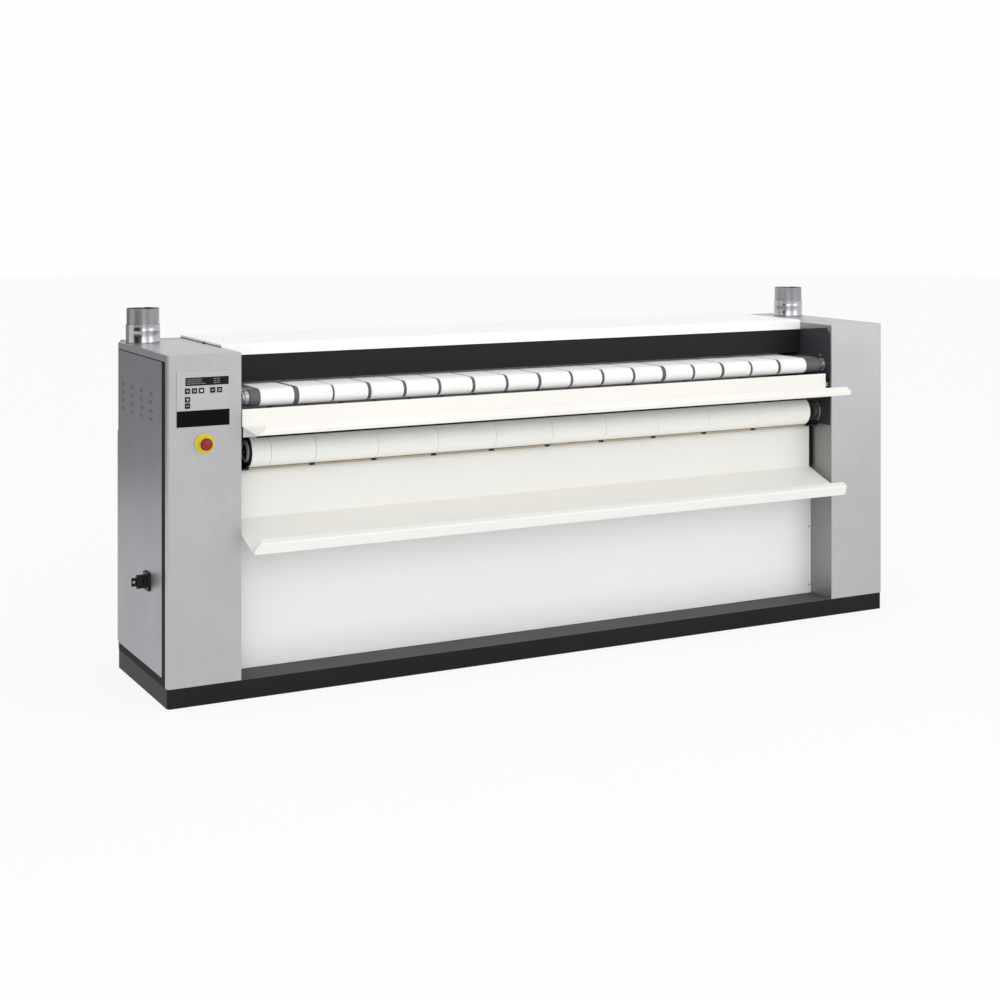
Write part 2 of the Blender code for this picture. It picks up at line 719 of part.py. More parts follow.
def window_outline():
    # The top edge rises from the hood's front to a cut corner.
    rear = DEPTH - WINDOW_REAR_MARGIN
    front_top = WINDOW_TOP + WINDOW_RISE
    return [
        (WINDOW_FRONT, WINDOW_BOTTOM), (WINDOW_STEP_DEPTH, WINDOW_BOTTOM),
        (WINDOW_STEP_DEPTH, WINDOW_LOW_BOTTOM), (rear, WINDOW_LOW_BOTTOM), (rear, WINDOW_TOP),
        (HOOD_FRONT, WINDOW_TOP), (WINDOW_FRONT + WINDOW_CORNER, front_top),
        (WINDOW_FRONT, front_top - WINDOW_CORNER),
    ]


def column_blank(side):
    blank = side_block(CLEAR_HALF, HALF_WIDTH, side, 0.0, DEPTH, DECK, COLUMN_HEIGHT)
    rounded = []
    for edge in blank.edges:
        middle = (edge.verts[0].co + edge.verts[1].co) / 2
        outer = abs(abs(middle.x) - HALF_WIDTH) < SEAT_GAP
        if outer and (middle.z > COLUMN_HEIGHT - SEAT_GAP or middle.y < SEAT_GAP):
            if len(edge.link_faces) == 2 and edge.calc_face_angle(0.0) > math.radians(BEND_ANGLE):
                rounded.append(edge)
    bmesh.ops.bevel(
        blank, geom=rounded, offset=COLUMN_EDGE_RADIUS, segments=EDGE_SEGMENTS, profile=EDGE_PROFILE,
        affect="EDGES", clamp_overlap=True,
    )
    return blank


def make_column_cover(name, side, finish, root):
    cover = add_object(name, column_blank(side), finish, root)
    cut(cover, side_block(
        CLEAR_HALF + SKIN, HALF_WIDTH - DOOR_WALL, side, SKIN, DEPTH - SKIN,
        BASE_HEIGHT - CUT_OVERRUN, COLUMN_HEIGHT - SKIN,
    ), root)
    cut(cover, side_block(
        HALF_WIDTH - SKIN, HALF_WIDTH + CUT_OVERRUN, side, DOOR_FRAME_FRONT, DEPTH - DOOR_FRAME_REAR,
        BASE_HEIGHT - CUT_OVERRUN, COLUMN_HEIGHT - DOOR_FRAME_TOP,
    ), root)
    inset = DOOR_GAP + DOOR_LEDGE
    cut(cover, side_block(
        HALF_WIDTH - DOOR_WALL - SKIN, HALF_WIDTH + CUT_OVERRUN, side,
        DOOR_FRAME_FRONT + DOOR_GAP_FRONT + DOOR_LEDGE, DEPTH - DOOR_FRAME_REAR - inset,
        DECK + DOOR_GAP_BOTTOM + DOOR_LEDGE, COLUMN_HEIGHT - DOOR_FRAME_TOP - inset,
    ), root)
    cut(cover, side_prism(window_outline(), CLEAR_HALF - SKIN, CLEAR_HALF + 2 * SKIN, side), root)
    hole = circle((side * FLUE_CENTRE, FLUE_DEPTH), FLUE_RADIUS + FLUE_FIT, PIPE_SEGMENTS)
    cut(cover, prism(hole, COLUMN_HEIGHT - CUT_OVERRUN, COLUMN_HEIGHT + CUT_OVERRUN, "Z"), root)
    return cover


def cut_control_openings(cover, root):
    left = -HALF_WIDTH + PANEL_INSET + PANEL_BACK_MARGIN
    cut(cover, block(
        left, left + PANEL_WIDTH - 2 * PANEL_BACK_MARGIN, -CUT_OVERRUN, CUT_OVERRUN,
        PANEL_BOTTOM + PANEL_BACK_MARGIN, PANEL_BOTTOM + PANEL_HEIGHT - PANEL_BACK_MARGIN,
    ), root)
    hole = bore((-HALF_WIDTH + STOP_INSET, STOP_HEIGHT), STOP_STEM_RADIUS, ROUND_SEGMENTS)
    cut(cover, prism(hole, -CUT_OVERRUN, CUT_OVERRUN, "Y"), root)


def door_edges():
    return (
        DOOR_FRAME_FRONT + DOOR_GAP_FRONT, DEPTH - DOOR_FRAME_REAR - DOOR_GAP,
        DECK + DOOR_GAP_BOTTOM, COLUMN_HEIGHT - DOOR_FRAME_TOP - DOOR_GAP,
    )


def louvre_holes():
    holes = []
    for column in range(LOUVRE_COLUMNS):
        y = LOUVRE_FIRST_DEPTH + column * LOUVRE_COLUMN_PITCH
        for row in range(LOUVRE_ROWS):
            z = LOUVRE_FIRST_HEIGHT + row * LOUVRE_ROW_PITCH
            holes.append(rectangle(
                y - LOUVRE_LENGTH / 2, z - LOUVRE_HEIGHT / 2, y + LOUVRE_LENGTH / 2, z + LOUVRE_HEIGHT / 2,
            ))
    return holes


def make_side_door(name, side, finish, root):
    y0, y1, z0, z1 = door_edges()
    latch = bore((LATCH_DEPTH, latch_height()), LATCH_SHAFT_RADIUS, SMALL_SEGMENTS)
    outline = rectangle(y0, z0, y1, z1)
    near = HALF_WIDTH - SKIN + SEAT_GAP
    add_object(
        name, side_prism(outline, near, HALF_WIDTH, side, [*louvre_holes(), latch]), finish, root,
    )


def latch_height():
    return COLUMN_HEIGHT - LATCH_DROP


def make_door_latch(name, side, finish, root):
    # Quarter turn fastener whose cam bears behind the ledge of the column cover.
    cam_outer = -DOOR_WALL - LATCH_CAM_CLEARANCE
    profile = [
        (cam_outer - LATCH_CAM_THICKNESS, 0.0),
        (cam_outer - LATCH_CAM_THICKNESS, LATCH_SHAFT_RADIUS),
        (SEAT_GAP, LATCH_SHAFT_RADIUS),
        (SEAT_GAP, LATCH_HEAD_RADIUS),
        (LATCH_HEAD_HEIGHT, LATCH_HEAD_RADIUS),
        (LATCH_HEAD_HEIGHT, 0.0),
    ]
    profile = [(side * along, radius) for along, radius in profile]
    location = (side * HALF_WIDTH, LATCH_DEPTH, latch_height())
    latch = add_object(name, turned(profile, SMALL_SEGMENTS, "X"), finish, root, location)
    half = LATCH_CAM_WIDTH / 2
    join(latch, side_block(
        cam_outer, cam_outer - LATCH_CAM_THICKNESS - JOIN_OVERLAP, side, -half, half, -half,
        LATCH_CAM_LENGTH - half,
    ), root)


def make_side_frame(name, side, finish, root):
    outline = rectangle(
        SKIN + FRAME_EDGE_CLEARANCE, DECK, DEPTH - SKIN - FRAME_EDGE_CLEARANCE,
        COLUMN_HEIGHT - SKIN - FRAME_EDGE_CLEARANCE,
    )
    holes = [bore(axis, ROLLER_JOURNAL_RADIUS, SMALL_SEGMENTS) for axis in small_axes()]
    holes.append(bore(CYLINDER_AXIS, JOURNAL_RADIUS, ROUND_SEGMENTS))
    holes.append(circle(FAN_AXIS, FAN_INLET_RADIUS, ROUND_SEGMENTS))
    plate = side_prism(outline, FRAME_INNER, FRAME_OUTER, side, holes)
    add_object(name, plate, finish, root)


def small_axes():
    return [
        FRONT_ROLLER_AXIS, BACK_LOWER_AXIS, BACK_UPPER_AXIS, UPPER_ROLLER_AXIS, FEED_FRONT_AXIS,
        FEED_REAR_AXIS,
    ]


def make_hood_top(finish, root):
    rear = REAR_DEPTH - REAR_CLEARANCE
    path = [
        (HOOD_FRONT, HOOD_LIP_BOTTOM), (HOOD_FRONT, HOOD_TOP), (rear, HOOD_TOP),
        (rear, COLUMN_HEIGHT + SEAT_GAP),
    ]
    outline = sheet_outline(path, -HOOD_SHEET)
    add_object("hood_top", prism(outline, -BAY_HALF, BAY_HALF, "X"), finish, root)


def make_hood_front_panel(finish, root):
    back = HOOD_FRONT + HOOD_PANEL_RETURN
    top = HOOD_LIP_BOTTOM - SEAT_GAP
    path = [(back, HOOD_PANEL_BOTTOM), (HOOD_FRONT, HOOD_PANEL_BOTTOM), (HOOD_FRONT, top), (back, top)]
    outline = sheet_outline(path, -HOOD_SHEET)
    add_object("hood_front_panel", prism(outline, -BAY_HALF, BAY_HALF, "X"), finish, root)


def make_lower_front_panel(finish, root):
    back = LOWER_PANEL_FRONT + LOWER_PANEL_RETURN
    path = [
        (back, DECK), (LOWER_PANEL_FRONT, DECK), (LOWER_PANEL_FRONT, LOWER_PANEL_TOP),
        (back, LOWER_PANEL_TOP),
    ]
    outline = sheet_outline(path, -HOOD_SHEET)
    add_object("lower_front_panel", prism(outline, -BAY_HALF, BAY_HALF, "X"), finish, root)


def rear_outline(inset, front):
    bottom = DECK + inset
    return [
        (front, bottom), (REAR_BULGE_DEPTH - inset, bottom), (REAR_BULGE_DEPTH - inset, REAR_BULGE_TOP - inset),
        (REAR_DEPTH - inset, REAR_BULGE_TOP - inset), (REAR_DEPTH - inset, COLUMN_HEIGHT - inset),
        (front, COLUMN_HEIGHT - inset),
    ]


def make_rear_cover(finish, root):
    half = HALF_WIDTH - REAR_INSET
    front = DEPTH + SEAT_GAP
    cover = add_object("rear_cover", prism(rear_outline(0.0, front), -half, half, "X"), finish, root)
    inner = half - REAR_SHEET
    cut(cover, prism(rear_outline(REAR_SHEET, front - CUT_OVERRUN), -inner, inner, "X"), root)


# Trays

def add_tray_tabs(tray, wall, back, bottom, height, root):
    inner = CLEAR_HALF - TRAY_END_CLEARANCE - TRAY_TAB_LENGTH
    for side in SIDES.values():
        join(tray, side_block(
            inner, wall, side, back - JOIN_OVERLAP, back + TRAY_TAB_THICKNESS, bottom, bottom + height,
        ), root)


def make_infeed_tray(finish, root):
    knee = INFEED_LIP_BOTTOM + INFEED_LIP_KNEE
    path = [
        (INFEED_BACK, INFEED_TOP), (INFEED_BACK, INFEED_FOLD),
        (-INFEED_REACH + INFEED_LIP_LEAN, INFEED_LIP_BOTTOM), (-INFEED_REACH, knee),
        (-INFEED_REACH + INFEED_LIP_RETURN, knee + INFEED_LIP_RISE),
    ]
    half = CLEAR_HALF - TRAY_END_CLEARANCE
    outline = sheet_outline(path, -TRAY_SHEET)
    sheet = prism(outline, -half, half - TRAY_RIGHT_GAP, "X")
    tray = add_object("infeed_tray", sheet, finish, root)
    add_tray_tabs(tray, FRAME_BAY_HALF, INFEED_BACK, INFEED_TAB_BOTTOM, INFEED_TAB_HEIGHT, root)


def make_exit_tray(finish, root):
    knee = EXIT_LIP_BOTTOM + EXIT_LIP_KNEE
    path = [
        (EXIT_BACK, EXIT_TOP), (EXIT_BACK, EXIT_FOLD),
        (-EXIT_REACH + EXIT_LIP_LEAN, EXIT_LIP_BOTTOM), (-EXIT_REACH, knee),
        (-EXIT_REACH + EXIT_LIP_RETURN, knee + EXIT_LIP_RISE),
    ]
    half = CLEAR_HALF - TRAY_END_CLEARANCE
    outline = sheet_outline(path, -TRAY_SHEET)
    sheet = prism(outline, -half, half - TRAY_RIGHT_GAP, "X")
    tray = add_object("exit_tray", sheet, finish, root)
    add_tray_tabs(tray, BAY_HALF, EXIT_BACK, EXIT_TAB_BOTTOM, EXIT_TAB_HEIGHT, root)


def make_belt_guide_bar(finish, root):
    # The fingers stand on the front lip, where the belts pass over it.
    outline = [(-BAY_HALF, GUIDE_BOTTOM), (BAY_HALF, GUIDE_BOTTOM), (BAY_HALF, GUIDE_LIP_TOP)]
    for index in reversed(range(GUIDE_FINGERS)):
        x = (index - (GUIDE_FINGERS - 1) / 2) * GUIDE_FINGER_PITCH + GUIDE_FINGER_OFFSET
        half = GUIDE_FINGER_WIDTH / 2
        outline += [
            (x + half, GUIDE_LIP_TOP), (x + half, GUIDE_FINGER_TOP), (x - half, GUIDE_FINGER_TOP),
            (x - half, GUIDE_LIP_TOP),
        ]
    outline.append((-BAY_HALF, GUIDE_LIP_TOP))
    lip_back = GUIDE_FRONT + GUIDE_LIP_THICKNESS
    bar = add_object("belt_guide_bar", prism(outline, GUIDE_FRONT, lip_back, "Y"), finish, root)
    shelf_front = GUIDE_FRONT + GUIDE_LIP_THICKNESS / 2
    join(bar, block(-BAY_HALF, BAY_HALF, shelf_front, GUIDE_BACK, GUIDE_BOTTOM, GUIDE_TOP), root)


# Cylinder, rollers and belts

def mirrored(profile):
    return profile + [(-along, radius) for along, radius in reversed(profile)]


def make_heated_cylinder(finish, root):
    half = CLEAR_HALF - CYLINDER_END_CLEARANCE
    inner = half - CYLINDER_END_THICKNESS
    hollow = JOURNAL_RADIUS - JOURNAL_WALL
    outer = [(-JOURNAL_END, JOURNAL_RADIUS), (-half, JOURNAL_RADIUS), (-half, CYLINDER_RADIUS)]
    inside = [(inner, CYLINDER_RADIUS - CYLINDER_WALL), (inner, hollow), (JOURNAL_END, hollow)]
    profile = mirrored(outer) + mirrored(inside[::-1])
    add_object(
        "heated_cylinder", turned(profile, FINE_SEGMENTS, "X", closed=True), finish, root,
        (0.0, *CYLINDER_AXIS),
    )


def make_cylinder_bearing(name, side, finish, root):
    near = FRAME_OUTER + SEAT_GAP
    holes = [bore((0.0, 0.0), JOURNAL_RADIUS, ROUND_SEGMENTS)]
    ring = side_prism(
        circle((0.0, 0.0), CYLINDER_BEARING_RADIUS, ROUND_SEGMENTS), near,
        near + CYLINDER_BEARING_LENGTH, side, holes,
    )
    add_object(name, ring, finish, root, (0.0, *CYLINDER_AXIS))


def make_burner_tube(finish, root):
    # Held by its arm on the left side frame; the burnt gas leaves through the right journal.
    arm_inner = JOURNAL_END + BURNER_ARM_CLEARANCE
    arm_outer = arm_inner + BURNER_ARM_THICKNESS
    near = -arm_outer + BURNER_ARM_THICKNESS / 2
    tip = CLEAR_HALF - CYLINDER_END_CLEARANCE - CYLINDER_END_THICKNESS - BURNER_TIP_CLEARANCE
    rod = [(near, 0.0), (near, BURNER_RADIUS), (tip, BURNER_RADIUS), (tip, 0.0)]
    tube = add_object(
        "burner_tube", turned(rod, SMALL_SEGMENTS, "X"), finish, root, (0.0, *CYLINDER_AXIS),
    )
    bracket = [
        (-arm_outer, -BURNER_ARM_HALF_HEIGHT), (-arm_outer, BURNER_ARM_REACH),
        (-FRAME_OUTER - SEAT_GAP, BURNER_ARM_REACH),
        (-FRAME_OUTER - SEAT_GAP, BURNER_ARM_REACH - BURNER_LEG_THICKNESS),
        (-arm_inner, BURNER_ARM_REACH - BURNER_LEG_THICKNESS),
        (-arm_inner, -BURNER_ARM_HALF_HEIGHT),
    ]
    join(tube, prism(bracket, -BURNER_ARM_HALF_HEIGHT, BURNER_ARM_HALF_HEIGHT, "Z"), root)
    inside = circle((0.0, 0.0), BURNER_BORE_RADIUS, SMALL_SEGMENTS)
    cut(tube, prism(inside, -arm_outer - CUT_OVERRUN, tip - BURNER_TIP_WALL, "X"), root)


def make_roller(name, axis, radius, end_margin, finish, root, collar=()):
    half = CLEAR_HALF - end_margin
    end = FRAME_OUTER + ROLLER_JOURNAL_REACH
    profile = [(-end, 0.0), (-end, ROLLER_JOURNAL_RADIUS)]
    if collar:
        collar_radius, collar_length = collar
        profile += [(-half - collar_length, ROLLER_JOURNAL_RADIUS), (-half - collar_length, collar_radius)]
        profile += [(-half, collar_radius), (-half, radius)]
    else:
        profile += [(-half, ROLLER_JOURNAL_RADIUS), (-half, radius)]
    add_object(name, turned(mirrored(profile), ROUND_SEGMENTS, "X"), finish, root, (0.0, *axis))


def make_rollers(finish, root):
    make_roller(
        "ironing_front_roller", FRONT_ROLLER_AXIS, FRONT_ROLLER_RADIUS, FRONT_ROLLER_END_MARGIN,
        finish["rubber"], root,
    )
    make_roller(
        "ironing_upper_roller", UPPER_ROLLER_AXIS, BACK_ROLLER_RADIUS, BACK_ROLLER_END_MARGIN,
        finish["aluminium"], root,
    )
    make_roller(
        "ironing_back_upper_roller", BACK_UPPER_AXIS, BACK_ROLLER_RADIUS, BACK_ROLLER_END_MARGIN,
        finish["aluminium"], root,
    )
    make_roller(
        "ironing_back_lower_roller", BACK_LOWER_AXIS, BACK_ROLLER_RADIUS, BACK_ROLLER_END_MARGIN,
        finish["aluminium"], root,
    )
    make_roller(
        "feed_front_roller", FEED_FRONT_AXIS, FEED_ROLLER_RADIUS, FEED_ROLLER_END_MARGIN,
        finish["rubber"], root, collar=(FEED_COLLAR_RADIUS, FEED_COLLAR_LENGTH),
    )
    make_roller(
        "feed_rear_roller", FEED_REAR_AXIS, FEED_REAR_RADIUS, FEED_ROLLER_END_MARGIN,
        finish["aluminium"], root,
    )


def make_front_roller_bearing(name, side, finish, root):
    hole = bore_radius(ROLLER_JOURNAL_RADIUS, ROUND_SEGMENTS)
    far = FRAME_BAY_HALF
    near = far - FRONT_BEARING_LENGTH
    step = far - FRONT_BEARING_FLANGE
    profile = [
        (near, hole), (near, FRONT_BEARING_RIM_RADIUS), (step, FRONT_BEARING_RIM_RADIUS),
        (step, FRONT_BEARING_RADIUS), (far, FRONT_BEARING_RADIUS), (far, hole),
    ]
    profile = [(side * along, radius) for along, radius in profile]
    add_object(
        name, turned(profile, ROUND_SEGMENTS, "X", closed=True), finish, root,
        (0.0, *FRONT_ROLLER_AXIS),
    )


def make_belts(finish, root):
    half = CLEAR_HALF - IRONING_BELT_END_MARGIN
    flat = [
        (-half, 0.0), (half, 0.0), (half, IRONING_BELT_THICKNESS), (-half, IRONING_BELT_THICKNESS),
    ]
    add_object("ironing_belts", swept_band(flat, ironing_wheels(), BELT_STEP), finish["iron_cloth"], root)
    strips = swept_band(feed_belt_profile(), feed_wheels(), FEED_BELT_STEP)
    add_object("feed_belts", strips, finish["feed_cloth"], root)


def bed_height(y):
    # Height of the feed belts' inner surface on their upper run, less the bed's clearance.
    radius_front = FEED_ROLLER_RADIUS + SEAT_GAP
    radius_rear = FEED_REAR_RADIUS + SEAT_GAP
    run = FEED_REAR_DEPTH - FEED_ROLLER_DEPTH
    rise = FEED_REAR_HEIGHT - FEED_ROLLER_HEIGHT
    tilt = math.atan2(rise, run) - math.asin((radius_front - radius_rear) / math.hypot(run, rise))
    top = FEED_ROLLER_HEIGHT + radius_front / math.cos(tilt)
    return top + (y - FEED_ROLLER_DEPTH) * math.tan(tilt) - FEED_BED_CLEARANCE


def make_feed_bed(finish, root):
    front = FEED_ROLLER_DEPTH + FEED_ROLLER_RADIUS + FEED_BED_MARGIN
    back = FEED_REAR_DEPTH - FEED_REAR_RADIUS - FEED_BED_MARGIN
    path = [
        (front, bed_height(front) - FEED_BED_DROP), (front, bed_height(front)),
        (back, bed_height(back)), (back, bed_height(back) - FEED_BED_DROP),
    ]
    outline = sheet_outline(path, -FEED_BED_SHEET)
    add_object("feed_bed_plate", prism(outline, -FRAME_BAY_HALF, FRAME_BAY_HALF, "X"), finish, root)


# Drives

def make_sprocket(name, axis, teeth, pitch, side, finish, root):
    outline = sprocket_outline(teeth, pitch)
    holes = [bore((0.0, 0.0), JOURNAL_RADIUS, ROUND_SEGMENTS)]
    wheel = side_prism(outline, SPROCKET_INNER, SPROCKET_INNER + SPROCKET_THICKNESS, side, holes)
    add_object(name, wheel, finish, root, (0.0, *axis))


def make_chain(name, big, small, side, finish, root):
    near = side * SPROCKET_INNER
    far = side * (SPROCKET_INNER + SPROCKET_THICKNESS)
    section = [(near, 0.0), (far, 0.0), (far, CHAIN_THICKNESS), (near, CHAIN_THICKNESS)]
    wheels = []
    for axis, teeth, pitch in (big, small):
        wheels.append((axis, pitch_radius(teeth, pitch) + CHAIN_GAP, 1))
    add_object(name, swept_band(section, wheels, CHAIN_STEP), finish, root)


def make_drive(finish, root):
    make_sprocket(
        "cylinder_sprocket", CYLINDER_AXIS, DRIVE_TEETH, DRIVE_CHAIN_PITCH, SIDES["right"],
        finish["steel"], root,
    )
    make_chain(
        "drive_chain", (CYLINDER_AXIS, DRIVE_TEETH, DRIVE_CHAIN_PITCH),
        (MOTOR_AXIS, MOTOR_TEETH, DRIVE_CHAIN_PITCH), SIDES["right"], finish["steel"], root,
    )
    make_motor_sprocket(finish["steel"], root)
    make_gearmotor(finish["cast"], root)


def make_motor_sprocket(finish, root):
    # Sprocket in one piece with the gearbox's output shaft.
    wheel = prism(
        sprocket_outline(MOTOR_TEETH, DRIVE_CHAIN_PITCH), SPROCKET_INNER,
        SPROCKET_INNER + SPROCKET_THICKNESS, "X",
    )
    sprocket = add_object("motor_sprocket", wheel, finish, root, (0.0, *MOTOR_AXIS))
    start = gearbox_outer() - MOTOR_SHAFT_DEPTH + SEAT_GAP
    shaft = circle((0.0, 0.0), MOTOR_SHAFT_RADIUS, SMALL_SEGMENTS)
    join(sprocket, prism(shaft, start, SPROCKET_INNER + SPROCKET_THICKNESS / 2, "X"), root)


def gearbox_outer():
    return FRAME_OUTER + SEAT_GAP + GEARBOX_WIDTH


def make_gearmotor(finish, root):
    near = FRAME_OUTER + SEAT_GAP
    box = block(
        near, gearbox_outer(), -GEARBOX_DEPTH / 2, GEARBOX_DEPTH / 2, -GEARBOX_HEIGHT / 2, GEARBOX_HEIGHT / 2,
    )
    motor = add_object("gearmotor", box, finish, root, (0.0, *MOTOR_AXIS))
    start = GEARBOX_DEPTH / 2 - JOIN_OVERLAP
    can = turned(
        [(start, 0.0), (start, MOTOR_RADIUS), (start + MOTOR_LENGTH, MOTOR_RADIUS), (start + MOTOR_LENGTH, 0.0)],
        ROUND_SEGMENTS, "Y",
    )
    join(motor, shift(can, (near + MOTOR_RADIUS, 0.0, 0.0)), root)
    hole = bore((0.0, 0.0), MOTOR_SHAFT_RADIUS, SMALL_SEGMENTS)
    cut(motor, prism(hole, gearbox_outer() - MOTOR_SHAFT_DEPTH, gearbox_outer() + CUT_OVERRUN, "X"), root)


def make_feed_drive(finish, root):
    make_sprocket(
        "feed_drive_sprocket", CYLINDER_AXIS, FEED_DRIVE_TEETH, FEED_CHAIN_PITCH, SIDES["left"],
        finish["steel"], root,
    )
    make_feed_roller_sprocket(finish["steel"], root)
    make_chain(
        "feed_drive_chain", (CYLINDER_AXIS, FEED_DRIVE_TEETH, FEED_CHAIN_PITCH),
        (FEED_FRONT_AXIS, FEED_TEETH, FEED_CHAIN_PITCH), SIDES["left"], finish["steel"], root,
    )


def make_feed_roller_sprocket(finish, root):
    # Sprocket with a stub shaft that meets the end of the feed roller's journal.
    side = SIDES["left"]
    wheel = side_prism(
        sprocket_outline(FEED_TEETH, FEED_CHAIN_PITCH), SPROCKET_INNER,
        SPROCKET_INNER + SPROCKET_THICKNESS, side,
    )
    sprocket = add_object("feed_roller_sprocket", wheel, finish, root, (0.0, *FEED_FRONT_AXIS))
    stub = circle((0.0, 0.0), ROLLER_JOURNAL_RADIUS, SMALL_SEGMENTS)
    start = FRAME_OUTER + ROLLER_JOURNAL_REACH + SEAT_GAP
    join(sprocket, side_prism(stub, start, SPROCKET_INNER + SPROCKET_THICKNESS / 2, side), root)


# Extraction

def fan_outline(inset, top):
    radius = FAN_HOUSING_RADIUS - inset
    points = arc(FAN_AXIS, radius, 90, 360, SMALL_SEGMENTS)
    left = FAN_DEPTH + inset
    return [(left, top)] + [(left, FAN_HEIGHT + radius)] + points[1:] + [(FAN_DEPTH + radius, top)]


def make_fan_housing(name, side, finish, root):
    near = FLUE_CENTRE - FAN_HOUSING_WIDTH / 2
    far = FLUE_CENTRE + FAN_HOUSING_WIDTH / 2
    wall = FAN_HOUSING_WALL
    housing = add_object(
        name, side_prism(fan_outline(0.0, FAN_OUTLET_TOP), near, far, side), finish, root,
    )
    cut(housing, side_prism(fan_outline(wall, FAN_OUTLET_TOP - wall), near + wall, far - wall, side), root)
    outlet = circle((side * FLUE_CENTRE, FLUE_DEPTH), FLUE_RADIUS - FLUE_SHEET, PIPE_SEGMENTS)
    cut(housing, prism(outlet, FAN_OUTLET_TOP - 2 * wall, FAN_OUTLET_TOP + CUT_OVERRUN, "Z"), root)
    inlet = circle(FAN_AXIS, FAN_INLET_RADIUS, ROUND_SEGMENTS)
    cut(housing, side_prism(inlet, near - CUT_OVERRUN, near + 2 * wall, side), root)
    motor_end = far - wall - FAN_MOTOR_LENGTH
    shaft_end = motor_end - FAN_WHEEL_GAP - FAN_WHEEL_WIDTH
    motor = [
        (shaft_end, 0.0), (shaft_end, FAN_SHAFT_RADIUS), (motor_end, FAN_SHAFT_RADIUS),
        (motor_end, FAN_MOTOR_RADIUS), (far - wall / 2, FAN_MOTOR_RADIUS), (far - wall / 2, 0.0),
    ]
    motor = [(side * along, radius) for along, radius in motor]
    join(housing, shift(turned(motor, SMALL_SEGMENTS, "X"), (0.0, *FAN_AXIS)), root)


def wheel_outline():
    points = []
    half = math.degrees(math.asin(FAN_BLADE_THICKNESS / 2 / FAN_WHEEL_HUB_RADIUS))
    tip_half = math.degrees(math.asin(FAN_BLADE_THICKNESS / 2 / FAN_WHEEL_RADIUS))
    for blade in range(FAN_BLADES):
        angle = 360 * blade / FAN_BLADES
        points += arc((0.0, 0.0), FAN_WHEEL_HUB_RADIUS, angle - half, angle, 1)[:1]
        points += arc((0.0, 0.0), FAN_WHEEL_RADIUS, angle - tip_half, angle + tip_half, 1)
        points += arc((0.0, 0.0), FAN_WHEEL_HUB_RADIUS, angle + half, angle, 1)[:1]
    return points


def make_fan_impeller(name, side, finish, root):
    far = FLUE_CENTRE + FAN_HOUSING_WIDTH / 2 - FAN_HOUSING_WALL - FAN_MOTOR_LENGTH - FAN_WHEEL_GAP / 2
    hole = bore((0.0, 0.0), FAN_SHAFT_RADIUS, SMALL_SEGMENTS)
    wheel = side_prism(wheel_outline(), far - FAN_WHEEL_WIDTH, far, side, [hole])
    add_object(name, wheel, finish, root, (0.0, *FAN_AXIS))


def make_tube(name, outer, inner, low, high, centre, finish, root):
    profile = [(low, inner), (low, outer), (high, outer), (high, inner)]
    add_object(name, turned(profile, PIPE_SEGMENTS, "Z", closed=True), finish, root, centre)


def make_flues(finish, root):
    for word, side in SIDES.items():
        centre = (side * FLUE_CENTRE, FLUE_DEPTH, 0.0)
        make_tube(
            f"{word}_flue_pipe", FLUE_RADIUS, FLUE_RADIUS - FLUE_SHEET, FAN_OUTLET_TOP + SEAT_GAP,
            FLUE_TOP, centre, finish["galvanised"], root,
        )
        make_tube(
            f"{word}_flue_sleeve", SLEEVE_RADIUS, FLUE_RADIUS + FLUE_FIT, COLUMN_HEIGHT + SEAT_GAP,
            SLEEVE_TOP, centre, finish["galvanised"], root,
        )


# Controls

def key_places():
    top = PANEL_HEIGHT - KEY_TOP_DROP
    first = KEY_LEFT_MARGIN
    second_group = first + 2 * KEY_PITCH + KEY_GROUP_STEP
    row = [first, first + KEY_PITCH, first + 2 * KEY_PITCH, second_group, second_group + KEY_PITCH]
    lower = top - KEY_ROW_DROP
    return [(x, top) for x in row] + [(first, lower), (first, lower - KEY_ROW_PITCH)]


def display_edges():
    top = PANEL_HEIGHT - DISPLAY_TOP_MARGIN
    return (DISPLAY_LEFT_MARGIN, top - DISPLAY_HEIGHT, PANEL_WIDTH - DISPLAY_RIGHT_MARGIN, top)


def panel_origin():
    return (-HALF_WIDTH + PANEL_INSET, -SEAT_GAP - PANEL_THICKNESS, PANEL_BOTTOM)


def make_control_panel(finish, root):
    hole_half = KEY_SIZE / 2 + KEY_CLEARANCE
    holes = [rectangle(x - hole_half, z - hole_half, x + hole_half, z + hole_half) for x, z in key_places()]
    x0, z0, x1, z1 = display_edges()
    gap = SEAT_GAP
    holes.append(rectangle(x0 - gap, z0 - gap, x1 + gap, z1 + gap))
    plate = prism(rectangle(0.0, 0.0, PANEL_WIDTH, PANEL_HEIGHT), 0.0, PANEL_THICKNESS, "Y", holes)
    add_object("control_panel", plate, finish["stainless"], root, panel_origin())
    window = prism(rectangle(x0, z0, x1, z1), DISPLAY_RECESS, DISPLAY_RECESS + DISPLAY_THICKNESS, "Y")
    add_object("display_window", window, finish["glass"], root, panel_origin())


def make_keys(finish, root):
    half = KEY_SIZE / 2
    left, front, bottom = panel_origin()
    for number, (x, z) in enumerate(key_places(), start=1):
        key = prism(rectangle(-half, -half, half, half), -KEY_PROUD, KEY_DEPTH - KEY_PROUD, "Y")
        add_object(f"key_{number}", key, finish, root, (left + x, front, bottom + z))


